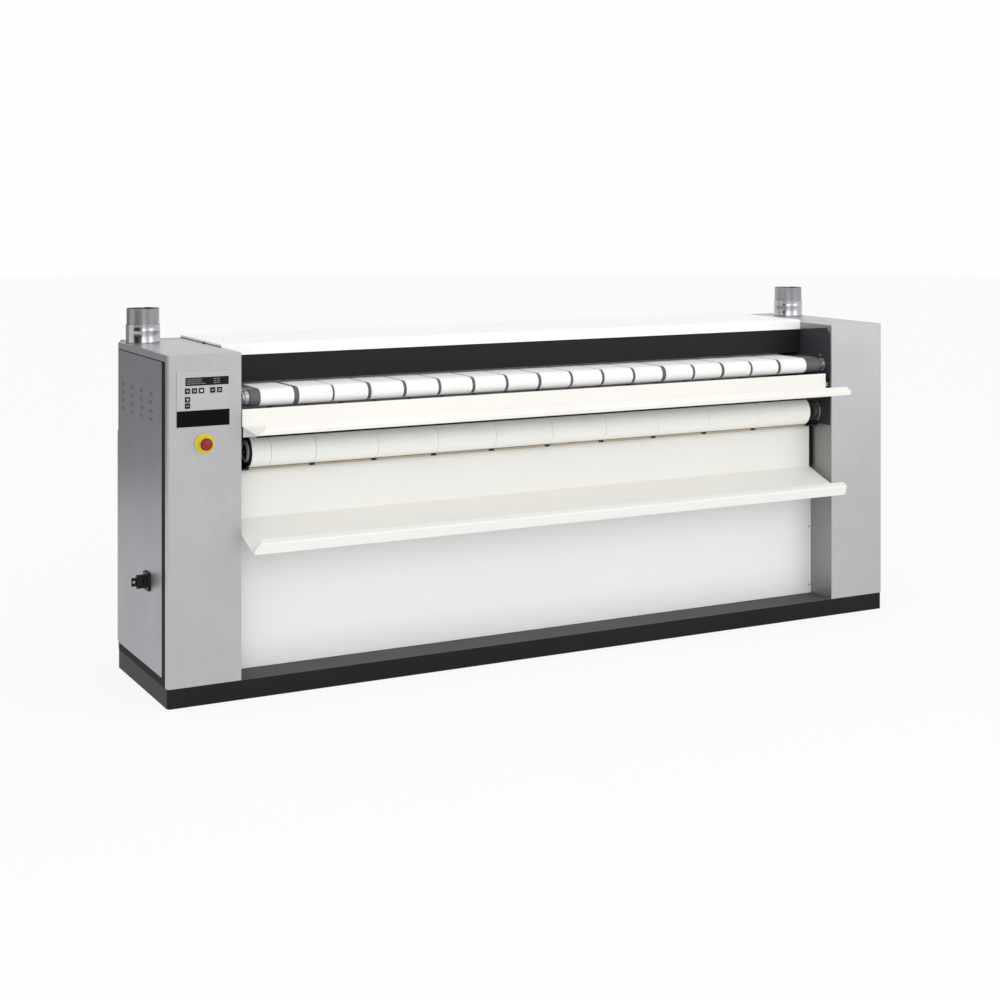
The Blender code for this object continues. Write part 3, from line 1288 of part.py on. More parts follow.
def make_emergency_stop(finish, root):
    location = (-HALF_WIDTH + STOP_INSET, 0.0, STOP_HEIGHT)
    hole = bore_radius(STOP_STEM_RADIUS, FINE_SEGMENTS)
    back = -SEAT_GAP
    ring_front = back - STOP_RING_HEIGHT
    disc_front = back - STOP_DISC_THICKNESS
    collar = [
        (back, hole), (back, STOP_DISC_RADIUS), (disc_front, STOP_DISC_RADIUS),
        (disc_front, STOP_RING_RADIUS), (ring_front, STOP_RING_RADIUS), (ring_front, hole),
    ]
    add_object(
        "emergency_stop_collar", turned(collar, FINE_SEGMENTS, "Y", closed=True), finish["yellow"],
        root, location,
    )
    neck = ring_front - STOP_TRAVEL - STOP_SPARE
    head_back = neck - STOP_NECK_LENGTH
    head_front = head_back - STOP_HEAD_THICKNESS
    button = [
        (STOP_STEM_LENGTH - STOP_RING_HEIGHT, 0.0), (STOP_STEM_LENGTH - STOP_RING_HEIGHT, STOP_STEM_RADIUS),
        (neck, STOP_STEM_RADIUS), (neck, STOP_NECK_RADIUS), (head_back, STOP_NECK_RADIUS),
        (head_back, STOP_HEAD_RADIUS), (head_front + STOP_HEAD_EDGE, STOP_HEAD_RADIUS),
        (head_front, STOP_HEAD_RADIUS - STOP_HEAD_EDGE), (head_front, 0.0),
    ]
    add_object(
        "emergency_stop_button", turned(button, ROUND_SEGMENTS, "Y"), finish["red"], root, location,
    )


def make_isolator(finish, root):
    side = SIDES["left"]
    location = (side * HALF_WIDTH, ISOLATOR_DEPTH, ISOLATOR_HEIGHT)
    half = ISOLATOR_PLATE_SIZE / 2
    hole = bore((0.0, 0.0), ISOLATOR_SHAFT_RADIUS, SMALL_SEGMENTS)
    outline = rounded_rectangle(-half, -half, half, half, ISOLATOR_PLATE_RADIUS)
    plate_top = SEAT_GAP + ISOLATOR_PLATE_THICKNESS
    add_object(
        "isolator_plate", side_prism(outline, SEAT_GAP, plate_top, side, [hole]), finish["black"],
        root, location,
    )
    make_isolator_handle(side, plate_top + SEAT_GAP, finish["black"], root, location)


def make_isolator_handle(side, base, finish, root, location):
    top = base + ISOLATOR_DISC_HEIGHT
    stub = 2 * SEAT_GAP
    profile = [
        (stub, 0.0), (stub, ISOLATOR_SHAFT_RADIUS), (base, ISOLATOR_SHAFT_RADIUS),
        (base, ISOLATOR_DISC_RADIUS), (top, ISOLATOR_DISC_RADIUS), (top, 0.0),
    ]
    profile = [(side * along, radius) for along, radius in profile]
    handle = add_object(
        "isolator_handle", turned(profile, ROUND_SEGMENTS, "X"), finish, root, location,
    )
    grip = ISOLATOR_GRIP_LENGTH / 2
    wide = ISOLATOR_GRIP_WIDTH / 2
    join(handle, side_block(
        top - JOIN_OVERLAP, ISOLATOR_BODY_REACH, side, -wide, wide, -grip, grip,
    ), root)
    thin = ISOLATOR_TAB_THICKNESS / 2
    tall = ISOLATOR_TAB_HEIGHT / 2
    join(handle, side_block(
        ISOLATOR_BODY_REACH - JOIN_OVERLAP, ISOLATOR_REACH, side, -thin, thin, -tall, tall,
    ), root)
    hole_x = side * (ISOLATOR_BODY_REACH + ISOLATOR_REACH) / 2
    hole = circle((hole_x, 0.0), ISOLATOR_TAB_HOLE_RADIUS, SMALL_SEGMENTS)
    cut(handle, prism(hole, -wide, wide, "Y"), root)


def make_control_box(finish, root):
    side = SIDES["left"]
    near = FRAME_OUTER + SEAT_GAP
    far = near + CONTROL_BOX_WIDTH
    wall = CONTROL_BOX_WALL
    y0 = CONTROL_BOX_DEPTH
    y1 = y0 + CONTROL_BOX_LENGTH
    z0 = CONTROL_BOX_BOTTOM
    z1 = z0 + CONTROL_BOX_HEIGHT
    box = add_object("control_box", side_block(near, far, side, y0, y1, z0, z1), finish, root)
    cut(box, side_block(
        near + wall, far + CUT_OVERRUN, side, y0 + wall, y1 - wall, z0 + wall, z1 - wall,
    ), root)


# Assembly

def make_origin():
    # The world origin lies under the middle of the machine's bounding box.
    left = -HALF_WIDTH - ISOLATOR_REACH
    right = HALF_WIDTH + LATCH_HEAD_HEIGHT
    origin = bpy.data.objects.new("machine_origin", None)
    origin.location = (-(left + right) / 2, -(REAR_BULGE_DEPTH - INFEED_REACH) / 2, 0.0)
    bpy.context.scene.collection.objects.link(origin)
    return origin


def make_casing(finish, root):
    make_base_frame(finish["plinth"], root)
    for word, side in SIDES.items():
        cover = make_column_cover(f"{word}_column_cover", side, finish["stainless"], root)
        if word == "left":
            cut_control_openings(cover, root)
        make_side_frame(f"{word}_side_frame", side, finish["dark_steel"], root)
        make_side_door(f"{word}_side_door", side, finish["stainless"], root)
        make_door_latch(f"{word}_door_latch", side, finish["steel"], root)
    make_hood_top(finish["white"], root)
    make_hood_front_panel(finish["dark_steel"], root)
    make_lower_front_panel(finish["panel_white"], root)
    make_rear_cover(finish["stainless"], root)
    make_infeed_tray(finish["cream"], root)
    make_exit_tray(finish["cream"], root)
    make_belt_guide_bar(finish["cast"], root)


def make_works(finish, root):
    make_heated_cylinder(finish["polished"], root)
    make_burner_tube(finish["steel"], root)
    make_rollers(finish, root)
    make_belts(finish, root)
    make_feed_bed(finish["galvanised"], root)
    make_drive(finish, root)
    make_feed_drive(finish, root)
    for word, side in SIDES.items():
        make_cylinder_bearing(f"{word}_cylinder_bearing", side, finish["cast"], root)
        make_front_roller_bearing(f"{word}_front_roller_bearing", side, finish["black"], root)
        make_fan_housing(f"{word}_fan_housing", side, finish["galvanised"], root)
        make_fan_impeller(f"{word}_fan_impeller", side, finish["steel"], root)
    make_flues(finish, root)


def make_controls(finish, root):
    make_control_panel(finish, root)
    make_keys(finish["black"], root)
    make_emergency_stop(finish, root)
    make_isolator(finish, root)
    make_control_box(finish["box_grey"], root)


def main():
    clear_scene()
    finish = make_materials()
    root = make_origin()
    make_casing(finish, root)
    make_works(finish, root)
    make_controls(finish, root)


main()
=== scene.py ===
import math

import bmesh
import bpy
from mathutils import Matrix, Vector


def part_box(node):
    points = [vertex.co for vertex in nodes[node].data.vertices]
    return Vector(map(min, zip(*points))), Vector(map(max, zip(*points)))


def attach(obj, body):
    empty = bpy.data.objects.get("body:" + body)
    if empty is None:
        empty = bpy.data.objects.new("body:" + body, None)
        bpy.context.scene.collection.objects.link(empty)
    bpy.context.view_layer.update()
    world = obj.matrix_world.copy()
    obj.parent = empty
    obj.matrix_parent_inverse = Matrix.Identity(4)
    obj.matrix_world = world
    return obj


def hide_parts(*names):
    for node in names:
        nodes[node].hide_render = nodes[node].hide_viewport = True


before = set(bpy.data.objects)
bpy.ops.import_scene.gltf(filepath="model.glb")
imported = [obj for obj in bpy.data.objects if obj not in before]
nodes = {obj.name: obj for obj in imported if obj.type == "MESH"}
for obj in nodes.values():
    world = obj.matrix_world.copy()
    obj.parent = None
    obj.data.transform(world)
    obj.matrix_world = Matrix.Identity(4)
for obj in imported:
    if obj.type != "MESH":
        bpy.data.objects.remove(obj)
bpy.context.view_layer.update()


# small helpers

def toLinear(hexCode):
    parts = [int(hexCode[i:i + 2], 16) / 255 for i in (1, 3, 5)]
    return tuple(c / 12.92 if c <= 0.04045 else ((c + 0.055) / 1.055) ** 2.4 for c in parts) + (1.0,)


def addNode(tree, kind, settings, links=None):
    node = tree.nodes.new("ShaderNode" + kind)
    for key, value in settings.items():
        if isinstance(key, str) and hasattr(node, key):
            setattr(node, key, value)
        else:
            node.inputs[key].default_value = value
    for key, socket in (links or {}).items():
        tree.links.new(socket, node.inputs[key])
    return node


finishes = {}
plainSockets = {"roughness": "Roughness", "metallic": "Metallic", "specular": "Specular IOR Level",
                "sheen": "Sheen Weight", "sheenRoughness": "Sheen Roughness"}


def startFinish(word, name, look):
    # a new material with its plain sockets set; its tones are its middle colour and its two shades
    finish = finishes[word] = bpy.data.materials.new(name)
    finish.use_nodes = True
    finish.diffuse_color = toLinear(look["tones"][0])
    shader = finish.node_tree.nodes["Principled BSDF"]
    shader.inputs["Base Color"].default_value = toLinear(look["tones"][0])
    for key, socket in plainSockets.items():
        if key in look:
            shader.inputs[socket].default_value = look[key]
    return finish.node_tree, shader


def dressShader(tree, shader, look, tone, relief, depth, worn=None, spread=0.0):
    # tone picks between the two shades, relief raises the surface, worn spreads the roughness
    first, last = [toLinear(shade) for shade in look["tones"][1:]]
    mix = addNode(tree, "Mix", {"data_type": "RGBA", 6: first, 7: last}, {0: tone})
    tree.links.new(mix.outputs[2], shader.inputs["Base Color"])
    if worn is not None:
        ends = {"To Min": look["roughness"] - spread, "To Max": look["roughness"] + spread}
        rough = addNode(tree, "MapRange", ends, {"Value": worn})
        tree.links.new(rough.outputs["Result"], shader.inputs["Roughness"])
    bump = addNode(tree, "Bump", {"Strength": look["bump"], "Distance": depth}, {"Height": relief})
    tree.links.new(bump.outputs["Normal"], shader.inputs["Normal"])


# finishes

waveRepeat = math.tau / 20  # metres between the bands of a Wave of scale 1
grain = {"cloudShare": 0.45, "toneFrom": 0.36, "toneTo": 0.64, "spread": 0.07, "depth": 0.0003}
spray = {"spread": 0.05, "depth": 0.0004}
turning = {"aroundScale": 3.0, "spread": 0.06, "depth": 0.0002}
weave = {"distortion": 0.4, "depth": 0.0005}
needling = {"patchShare": 0.6, "depth": 0.0008}
knurling = {"degrees": (40, -40), "depth": 0.0006}
moulding = {"spread": 0.05, "depth": 0.0002}


def grainedSheet(word, name, look):
    # rolled sheet rubbed with grit belts: fine streaks along one way, soft cloudy reflections
    tree, shader = startFinish(word, name, look)
    place = addNode(tree, "TexCoord", {}).outputs["Object"]
    across = 1 / (look["streakMm"] / 1000)
    along = across / look["streakLength"]
    scale = [along if axis == look["streakWay"] else across for axis in "XYZ"]
    streakPlace = addNode(tree, "Mapping", {"Scale": scale}, {"Vector": place})
    streaks = addNode(tree, "TexNoise", {"Scale": 1.0, "Detail": 3.0}, {"Vector": streakPlace.outputs[0]})
    clouds = addNode(tree, "TexNoise", {"Scale": 1000 / look["cloudMm"], "Detail": 2.0}, {"Vector": place})
    both = addNode(tree, "Mix", {0: grain["cloudShare"]}, {2: streaks.outputs[0], 3: clouds.outputs[0]})
    ends = {"From Min": grain["toneFrom"], "From Max": grain["toneTo"]}
    sharper = addNode(tree, "MapRange", ends, {"Value": both.outputs[0]})
    dressShader(tree, shader, look, sharper.outputs["Result"], streaks.outputs[0], grain["depth"],
                streaks.outputs[0], grain["spread"])


def sprayedCoat(word, name, look):
    # paint or powder sprayed and baked: a very low orange peel, slow clouds of tone and gloss
    tree, shader = startFinish(word, name, look)
    place = addNode(tree, "TexCoord", {}).outputs["Object"]
    peel = addNode(tree, "TexNoise", {"Scale": 1000 / look["peelMm"], "Detail": 1.0}, {"Vector": place})
    clouds = addNode(tree, "TexNoise", {"Scale": 1000 / look["cloudMm"], "Detail": 3.0}, {"Vector": place})
    dressShader(tree, shader, look, clouds.outputs[0], peel.outputs[0], spray["depth"],
                clouds.outputs[0], spray["spread"])


def turnedMetal(word, name, look):
    # turned on a lathe: fine rings round the X axis, slightly uneven brightness
    tree, shader = startFinish(word, name, look)
    place = addNode(tree, "TexCoord", {}).outputs["Object"]
    scale = (1000 / look["ringMm"], turning["aroundScale"], turning["aroundScale"])
    ringPlace = addNode(tree, "Mapping", {"Scale": scale}, {"Vector": place})
    rings = addNode(tree, "TexNoise", {"Scale": 1.0, "Detail": 2.0}, {"Vector": ringPlace.outputs[0]})
    dressShader(tree, shader, look, rings.outputs[0], rings.outputs[0], turning["depth"],
                rings.outputs[0], turning["spread"])


def wovenTape(word, name, look):
    # plain weave: two crossed sets of threads, read from the strip's own UV in metres
    tree, shader = startFinish(word, name, look)
    uv = addNode(tree, "UVMap", {"uv_map": "alongBelt"}).outputs["UV"]
    bands = {"Scale": 1000 / look["threadMm"] * waveRepeat, "Distortion": weave["distortion"]}
    warp, weft = [addNode(tree, "TexWave", {"bands_direction": way, **bands}, {"Vector": uv}) for way in "XY"]
    crossed = {0: warp.outputs["Fac"], 1: weft.outputs["Fac"]}
    threads = addNode(tree, "Math", {"operation": "MULTIPLY"}, crossed)
    wear = addNode(tree, "TexNoise", {"Scale": 1000 / look["wearMm"], "Detail": 4.0}, {"Vector": uv})
    both = addNode(tree, "Mix", {0: look["wearShare"]}, {2: threads.outputs[0], 3: wear.outputs[0]})
    dressShader(tree, shader, look, both.outputs[0], threads.outputs[0], weave["depth"])


def feltSleeve(word, name, look):
    # needled felt: no threads to see, a soft fuzz and broad uneven patches from heat
    tree, shader = startFinish(word, name, look)
    uv = addNode(tree, "UVMap", {"uv_map": "alongBelt"}).outputs["UV"]
    fuzz = addNode(tree, "TexNoise", {"Scale": 1000 / look["fuzzMm"], "Detail": 4.0}, {"Vector": uv})
    patches = addNode(tree, "TexNoise", {"Scale": 1000 / look["patchMm"], "Detail": 2.0}, {"Vector": uv})
    both = addNode(tree, "Mix", {0: needling["patchShare"]}, {2: fuzz.outputs[0], 3: patches.outputs[0]})
    dressShader(tree, shader, look, both.outputs[0], fuzz.outputs[0], needling["depth"])


def knurledGrip(word, name, look):
    # two crossed sets of spiral cuts, read from the roller's own UV in metres
    tree, shader = startFinish(word, name, look)
    uv = addNode(tree, "UVMap", {"uv_map": "roundRoller"}).outputs["UV"]
    cuts = 1000 / look["pitchMm"] * waveRepeat
    turns = [(0, 0, math.radians(degrees)) for degrees in knurling["degrees"]]
    turned = [addNode(tree, "Mapping", {"Rotation": turn}, {"Vector": uv}) for turn in turns]
    waves = [addNode(tree, "TexWave", {"Scale": cuts}, {"Vector": t.outputs[0]}) for t in turned]
    crossed = {0: waves[0].outputs["Fac"], 1: waves[1].outputs["Fac"]}
    points = addNode(tree, "Math", {"operation": "MULTIPLY"}, crossed)
    dressShader(tree, shader, look, points.outputs[0], points.outputs[0], knurling["depth"])


def mouldedPlastic(word, name, look):
    # injection moulded: even colour with a faint spark-eroded grain
    tree, shader = startFinish(word, name, look)
    place = addNode(tree, "TexCoord", {}).outputs["Object"]
    spark = addNode(tree, "TexNoise", {"Scale": 1000 / look["grainMm"], "Detail": 2.0}, {"Vector": place})
    dressShader(tree, shader, look, spark.outputs[0], spark.outputs[0], moulding["depth"],
                spark.outputs[0], moulding["spread"])


# what the finishes of one family share
grit = {"metallic": 1.0, "streakMm": 1.5, "streakLength": 40, "streakWay": "Z", "bump": 0.08}
duct = {"metallic": 1.0, "streakMm": 6.0, "streakLength": 8, "streakWay": "Z", "cloudMm": 60, "bump": 0.03}
bareMetal = {"metallic": 1.0, "bump": 0.1}
enamel = {"roughness": 0.5, "peelMm": 5.0, "cloudMm": 300, "bump": 0.1}
powder = {"roughness": 0.46, "peelMm": 4.0, "cloudMm": 380, "bump": 0.08}
moulded = {"roughness": 0.42, "grainMm": 2.5, "bump": 0.1}
printed = {"roughness": 0.5, "grainMm": 2.0, "bump": 0.02}

# 304 stainless sheet, grit belt grained; real streaks are about 0.2 mm, drawn at 1.5 mm to show
grainedSheet("columnSteel", "grained_stainless_304", {
    **grit, "tones": ("#B6B7B9", "#B2B3B5", "#BABBBD"), "roughness": 0.38, "cloudMm": 200})
# the same sheet on the doors and the rear cover, a little darker and rougher; the darker tone is painted
# shade, for the dim room these faces reflect
grainedSheet("shadedDoorSteel", "grained_stainless_door_painted_shade", {
    **grit, "tones": ("#A2A3A6", "#9C9DA1", "#A8A9AC"), "roughness": 0.42, "cloudMm": 260})
# the same sheet on the walls facing into the bay, darker and rougher; the darker tone is painted shade, for
# the dark bay these walls reflect
grainedSheet("shadedBaySteel", "grained_stainless_bay_painted_shade", {
    **grit, "tones": ("#A4A3A3", "#9E9D9D", "#ABAAAA"), "roughness": 0.5, "cloudMm": 220})
# the doors' sheet on the louvres' pressed hoods, darker: painted shade, for the soft shadow each louvre casts
grainedSheet("shadedLouvreSteel", "pressed_stainless_painted_shade", {
    **grit, "tones": ("#86878A", "#808184", "#8C8D90"), "roughness": 0.5, "streakLength": 10,
    "cloudMm": 60})
# bright annealed duct sheet of the sleeves, with slight hand marks
grainedSheet("flueSheet", "bright_duct_sheet", {
    **duct, "tones": ("#B6B6B9", "#AEAEB1", "#BEBEC1"), "roughness": 0.24})
# the pipes of the flues, the same sheet gone dull
grainedSheet("pipeSheet", "dulled_duct_sheet", {
    **duct, "tones": ("#9A9A9D", "#949497", "#A1A1A4"), "roughness": 0.32})
# galvanised sheet of the bed under the tapes
grainedSheet("bedSheet", "galvanised_bed_sheet", {
    "tones": ("#C6C8CA", "#BBBDBF", "#D0D2D4"), "roughness": 0.4, "metallic": 1.0, "streakMm": 4.0,
    "streakLength": 12, "streakWay": "X", "cloudMm": 60, "bump": 0.1})
# machined mild steel of shafts, nuts and brackets
turnedMetal("machinedSteel", "machined_mild_steel", {
    **bareMetal, "tones": ("#B4B5B7", "#9D9EA1", "#C4C5C7"), "roughness": 0.3, "ringMm": 2.0})
# drawn aluminium tube, turned true
turnedMetal("rollerTube", "turned_aluminium_tube", {
    **bareMetal, "tones": ("#C6C8CA", "#B9BBBD", "#D0D2D4"), "roughness": 0.34, "ringMm": 3.0})
# hard chromed cylinder, ground and polished by the linen
turnedMetal("polishedSteel", "polished_cylinder_steel", {
    **bareMetal, "tones": ("#C4C6C8", "#BBBDBF", "#CDCFD1"), "roughness": 0.14, "ringMm": 8.0,
    "bump": 0.04})
# satin black enamel on the folded plinth
sprayedCoat("plinthPaint", "satin_black_enamel", {
    **enamel, "tones": ("#1F1E21", "#1C1B1E", "#242326"), "roughness": 0.42, "cloudMm": 260,
    "specular": 0.09})
# the same enamel, lighter and matt on the plinth's top: painted reflection of the light falling on it
sprayedCoat("litTopEnamel", "black_enamel_painted_light_top", {
    **enamel, "tones": ("#545355", "#504F51", "#5A595B"), "roughness": 0.7, "cloudMm": 160,
    "specular": 0.15})
# dark grey enamel of the hood's front panel and the brackets
sprayedCoat("darkPaint", "satin_charcoal_enamel", {
    **enamel, "tones": ("#18191B", "#151618", "#1B1C1E"), "specular": 0.18})
# the same enamel on the plates in the walls' windows, a shade lighter: painted sheen, as the plates stand in
# shade
sprayedCoat("sheenPlatePaint", "satin_slate_enamel_painted_sheen", {
    **enamel, "tones": ("#35363A", "#323337", "#38393D"), "specular": 0.25})
# white polyester powder, baked
sprayedCoat("hoodPowder", "white_polyester_powder", {
    **powder, "tones": ("#F7F7F7", "#F5F5F5", "#F9F9F9"), "roughness": 0.48, "cloudMm": 420})
# the trays' warm white powder, a step lighter on the upper infeed tray: painted light from above
sprayedCoat("litTrayPowder", "warm_white_powder_painted_light", {**powder, "tones": ("#EFEDE8", "#ECEAE5", "#F1F0EB")})
# the same powder, a step darker on the lower exit tray: painted shade
sprayedCoat("shadedTrayPowder", "white_powder_painted_shade", {**powder, "tones": ("#ECEBE6", "#EAE9E4", "#EFEEEA")})
# cool pale grey powder of the lower panel
sprayedCoat("panelPowder", "pale_grey_powder", {
    **powder, "tones": ("#F0F0F1", "#EEEEEF", "#F2F2F3"), "cloudMm": 420})
# grey powder on the control box inside the column
sprayedCoat("boxPowder", "grey_box_powder", {
    **powder, "tones": ("#9FA09F", "#989998", "#A6A7A6"), "roughness": 0.5, "cloudMm": 200, "bump": 0.1})
# painted grey iron castings: bearings, gearmotor
sprayedCoat("castingPaint", "painted_grey_iron", {
    "tones": ("#515356", "#484A4D", "#5A5C60"), "roughness": 0.55, "peelMm": 7.0, "cloudMm": 60,
    "bump": 0.45})
# polyester film of the control panel, matt
mouldedPlastic("panelFilm", "matt_polyester_film", {
    **moulded, "tones": ("#AEAFB1", "#ACADAF", "#B1B2B4"), "roughness": 0.45, "bump": 0.05,
    "specular": 0.3})
# black ABS: keys, isolator, guide fingers
mouldedPlastic("blackPlastic", "black_abs", {
    **moulded, "tones": ("#101012", "#0D0D0F", "#141416"), "specular": 0.3})
# black ink band on the film
mouldedPlastic("blackInk", "black_screen_ink", {
    **printed, "tones": ("#040404", "#030303", "#050505"), "grainMm": 3.0, "bump": 0.03, "specular": 0.08})
# pale grey ink of the generic marks, and the unlit cells of the display
mouldedPlastic("paleInk", "pale_grey_ink", {**printed, "tones": ("#C9CBCD", "#C2C4C6", "#D0D2D4")})
mouldedPlastic("dimInk", "dim_display_cells", {**printed, "tones": ("#6B6D70", "#5F6164", "#77797C")})
# polycarbonate window over the display, glossy
mouldedPlastic("displayWindow", "smoked_polycarbonate", {
    "tones": ("#0A0B0C", "#08090A", "#0D0E0F"), "roughness": 0.2, "grainMm": 4.0, "bump": 0.0,
    "specular": 0.2})
# yellow and red ABS of the emergency stop
mouldedPlastic("yellowPlastic", "yellow_abs", {
    **moulded, "tones": ("#D0C030", "#CCBC2C", "#D4C434"), "roughness": 0.36, "grainMm": 2.0, "bump": 0.08})
mouldedPlastic("redPlastic", "red_abs", {
    **moulded, "tones": ("#88232B", "#832128", "#8D262E"), "grainMm": 2.0, "bump": 0.08, "specular": 0.3})
# black EPDM strip, extruded, put in gaps to darken them: painted shade
mouldedPlastic("gapShadeRubber", "epdm_strip_painted_gap_shade", {
    "tones": ("#161617", "#131314", "#1A1A1B"), "roughness": 0.7, "grainMm": 3.0, "bump": 0.2,
    "specular": 0.15})
# closed cell foam strip under the hood's ends
mouldedPlastic("greyFoam", "grey_foam_strip", {
    "tones": ("#6E6F71", "#67686A", "#757678"), "roughness": 0.8, "grainMm": 3.0, "bump": 0.2})
# sand cast aluminium, tumbled: the end rings of the front roller
sprayedCoat("castAluminium", "tumbled_cast_aluminium", {
    "tones": ("#B9BABC", "#AEAFB1", "#C4C5C7"), "roughness": 0.5, "metallic": 0.5, "peelMm": 5.0,
    "cloudMm": 40, "bump": 0.2})
# vulcanised grip covering of the feed roller; real cuts are about 1 mm, drawn at 3 mm
knurledGrip("gripRubber", "knurled_grip_rubber", {
    "tones": ("#626466", "#4A4C4E", "#747678"), "roughness": 0.62, "pitchMm": 3.0, "bump": 0.5})
turnedMetal("blackRubber", "black_roller_rubber", {
    "tones": ("#161618", "#121214", "#1B1B1D"), "roughness": 0.5, "ringMm": 4.0, "bump": 0.1,
    "specular": 0.3})
# bleached cotton tape; real threads are 0.5 mm, drawn at 2 mm to show
wovenTape("feedTape", "bleached_cotton_tape", {
    "tones": ("#F2F2F2", "#EBEBEB", "#F6F6F6"), "roughness": 0.85, "threadMm": 2.0, "wearMm": 60,
    "wearShare": 0.55, "bump": 0.25, "sheen": 0.1, "sheenRoughness": 0.5})
# needled aramid felt, cream, the seams laced
feltSleeve("ironingFelt", "needled_aramid_felt", {
    "tones": ("#F8F8F3", "#F4F4EF", "#FAFAF6"), "roughness": 0.9, "fuzzMm": 2.5, "patchMm": 140,
    "bump": 0.3, "sheen": 0.15, "sheenRoughness": 0.6})
# rolled brass of the guide bar, dulled by steam and heat
grainedSheet("guideBrass", "dulled_brass_bar", {
    **grit, "tones": ("#A89E8A", "#A09682", "#B0A692"), "roughness": 0.4, "streakWay": "X", "cloudMm": 120,
    "bump": 0.1})
print("finishes ready:", len(finishes))

nodeFinishes = {  # the CAD nodes that show as they are
    # the side frames take the lighter plate enamel: painted sheen
    "sheenPlatePaint": ("left_side_frame", "right_side_frame"),
    "bedSheet": ("feed_bed_plate",),
    "rollerTube": ("feed_rear_roller", "ironing_upper_roller", "ironing_back_upper_roller",
                   "ironing_back_lower_roller", "left_fan_impeller", "right_fan_impeller"),
    "polishedSteel": ("heated_cylinder",),
    "castingPaint": ("left_cylinder_bearing", "right_cylinder_bearing", "gearmotor"),
    "machinedSteel": ("burner_tube", "motor_sprocket", "cylinder_sprocket", "drive_chain",
                      "feed_drive_chain", "feed_drive_sprocket", "feed_roller_sprocket"),
    "flueSheet": ("left_fan_housing", "right_fan_housing"),
    "boxPowder": ("control_box",),
    "displayWindow": ("display_window",),
}
for finishName, nodeNames in nodeFinishes.items():
    for nodeName in nodeNames:
        for slotOfNode in nodes[nodeName].material_slots:
            slotOfNode.material = finishes[finishName]


# piece helpers

edgeLook = {"sharpDegrees": 32, "faceWeight": 90, "flatDegrees": 0.8}
weld = {"copy": 0.00002, "turned": 0.00001, "belt": 0.0002, "cut": 0.000001}  # what counts as one point
hair = 0.00005  # what a piece stands off the face under it


def meshFrom(name, bm):
    mesh = bpy.data.meshes.new(name)
    bm.to_mesh(mesh)
    bm.free()
    return mesh


def newObject(name, data):
    made = bpy.data.objects.new(name, data)
    bpy.context.collection.objects.link(made)
    return made


def finishPiece(name, bm, finishName, body="machine", stands=(), sharp=edgeLook["sharpDegrees"]):
    mesh = meshFrom(name, bm)
    mesh.materials.append(finishes[finishName])
    mesh.polygons.foreach_set("use_smooth", [True] * len(mesh.polygons))
    mesh.set_sharp_from_angle(angle=math.radians(sharp))
    piece = newObject(name, mesh)
    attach(piece, body)
    if stands:
        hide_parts(*stands)
    return piece


def only(kind, geom):
    # of a result's mixed geometry, the items of one kind
    return [item for item in geom if isinstance(item, getattr(bmesh.types, "BM" + kind))]


def evenShade(piece):
    # large flat faces keep their own normal, so the fold beside them doesn't tint them
    shade = piece.modifiers.new("even shading", "WEIGHTED_NORMAL")
    shade.mode = "FACE_AREA"
    shade.weight = edgeLook["faceWeight"]
    shade.keep_sharp = True
    return piece


def roundEdges(piece, width, segments=2):
    rounding = piece.modifiers.new("rounded edges", "BEVEL")
    rounding.width = width
    rounding.segments = segments
    rounding.limit_method = "ANGLE"
    rounding.angle_limit = math.radians(edgeLook["sharpDegrees"])
    return evenShade(piece)


def paintFaces(piece, finishName, chosen):
    # the faces that chosen(centre, normal) picks get a second finish
    piece.data.materials.append(finishes[finishName])
    for polygon in piece.data.polygons:
        if chosen(polygon.center, polygon.normal):
            polygon.material_index = 1


def softCopy(nodeName, finishName, width, body="machine"):
    # the CAD shape itself, welded, with its sharp edges broken
    bm = bmesh.new()
    bm.from_mesh(nodes[nodeName].data)
    bmesh.ops.remove_doubles(bm, verts=bm.verts, dist=weld["copy"])
    flat = math.radians(edgeLook["flatDegrees"])
    bmesh.ops.dissolve_limit(bm, angle_limit=flat, verts=bm.verts, edges=bm.edges)
    return roundEdges(finishPiece(nodeName + "_dressed", bm, finishName, body, (nodeName,)), width)


def addBlock(bm, low, high):
    # a block between two corners
    block = bmesh.ops.create_cube(bm, size=1.0)["verts"]
    bmesh.ops.scale(bm, vec=[high[i] - low[i] for i in range(3)], verts=block)
    bmesh.ops.translate(bm, vec=[(high[i] + low[i]) / 2 for i in range(3)], verts=block)


def blockPiece(name, blocks, finishName, width=0.0, segments=2, body="machine"):
    # a piece of plain blocks, its edges broken where a width is given
    bm = bmesh.new()
    for low, high in blocks:
        addBlock(bm, low, high)
    piece = finishPiece(name, bm, finishName, body)
    return roundEdges(piece, width, segments) if width else piece


def foldedSheet(bm, path, xLow, xHigh, wall, bend, bendSteps=5, cornerCut=None):
    # a strip drawn across, pulled along X in an empty bm, its folds rounded, thickened inwards
    start = [bm.verts.new((xLow, y, z)) for y, z in path]
    edges = [bm.edges.new(pair) for pair in zip(start, start[1:])]
    pulled = bmesh.ops.extrude_edge_only(bm, edges=edges)["geom"]
    newVerts = only("Vert", pulled)
    bmesh.ops.translate(bm, verts=newVerts, vec=(xHigh - xLow, 0, 0))
    folds = [e for e in bm.edges if len(e.link_faces) == 2]
    bmesh.ops.bevel(bm, geom=folds, offset=bend, offset_type="OFFSET", segments=bendSteps, profile=0.5,
                    affect="EDGES", material=-1)
    if cornerCut:  # the lip's left corner is sheared off before it is folded
        lip = [f for f in bm.faces if f.calc_center_median().y < cornerCut["frontOf"]]
        parts = list(dict.fromkeys(item for f in lip for item in (f, *f.edges, *f.verts)))
        bmesh.ops.bisect_plane(bm, geom=parts, dist=weld["cut"], plane_co=cornerCut["at"],
                               plane_no=cornerCut["way"], clear_outer=True)
    faces = bm.faces[:]
    bmesh.ops.recalc_face_normals(bm, faces=faces)
    bmesh.ops.solidify(bm, geom=faces, thickness=wall)


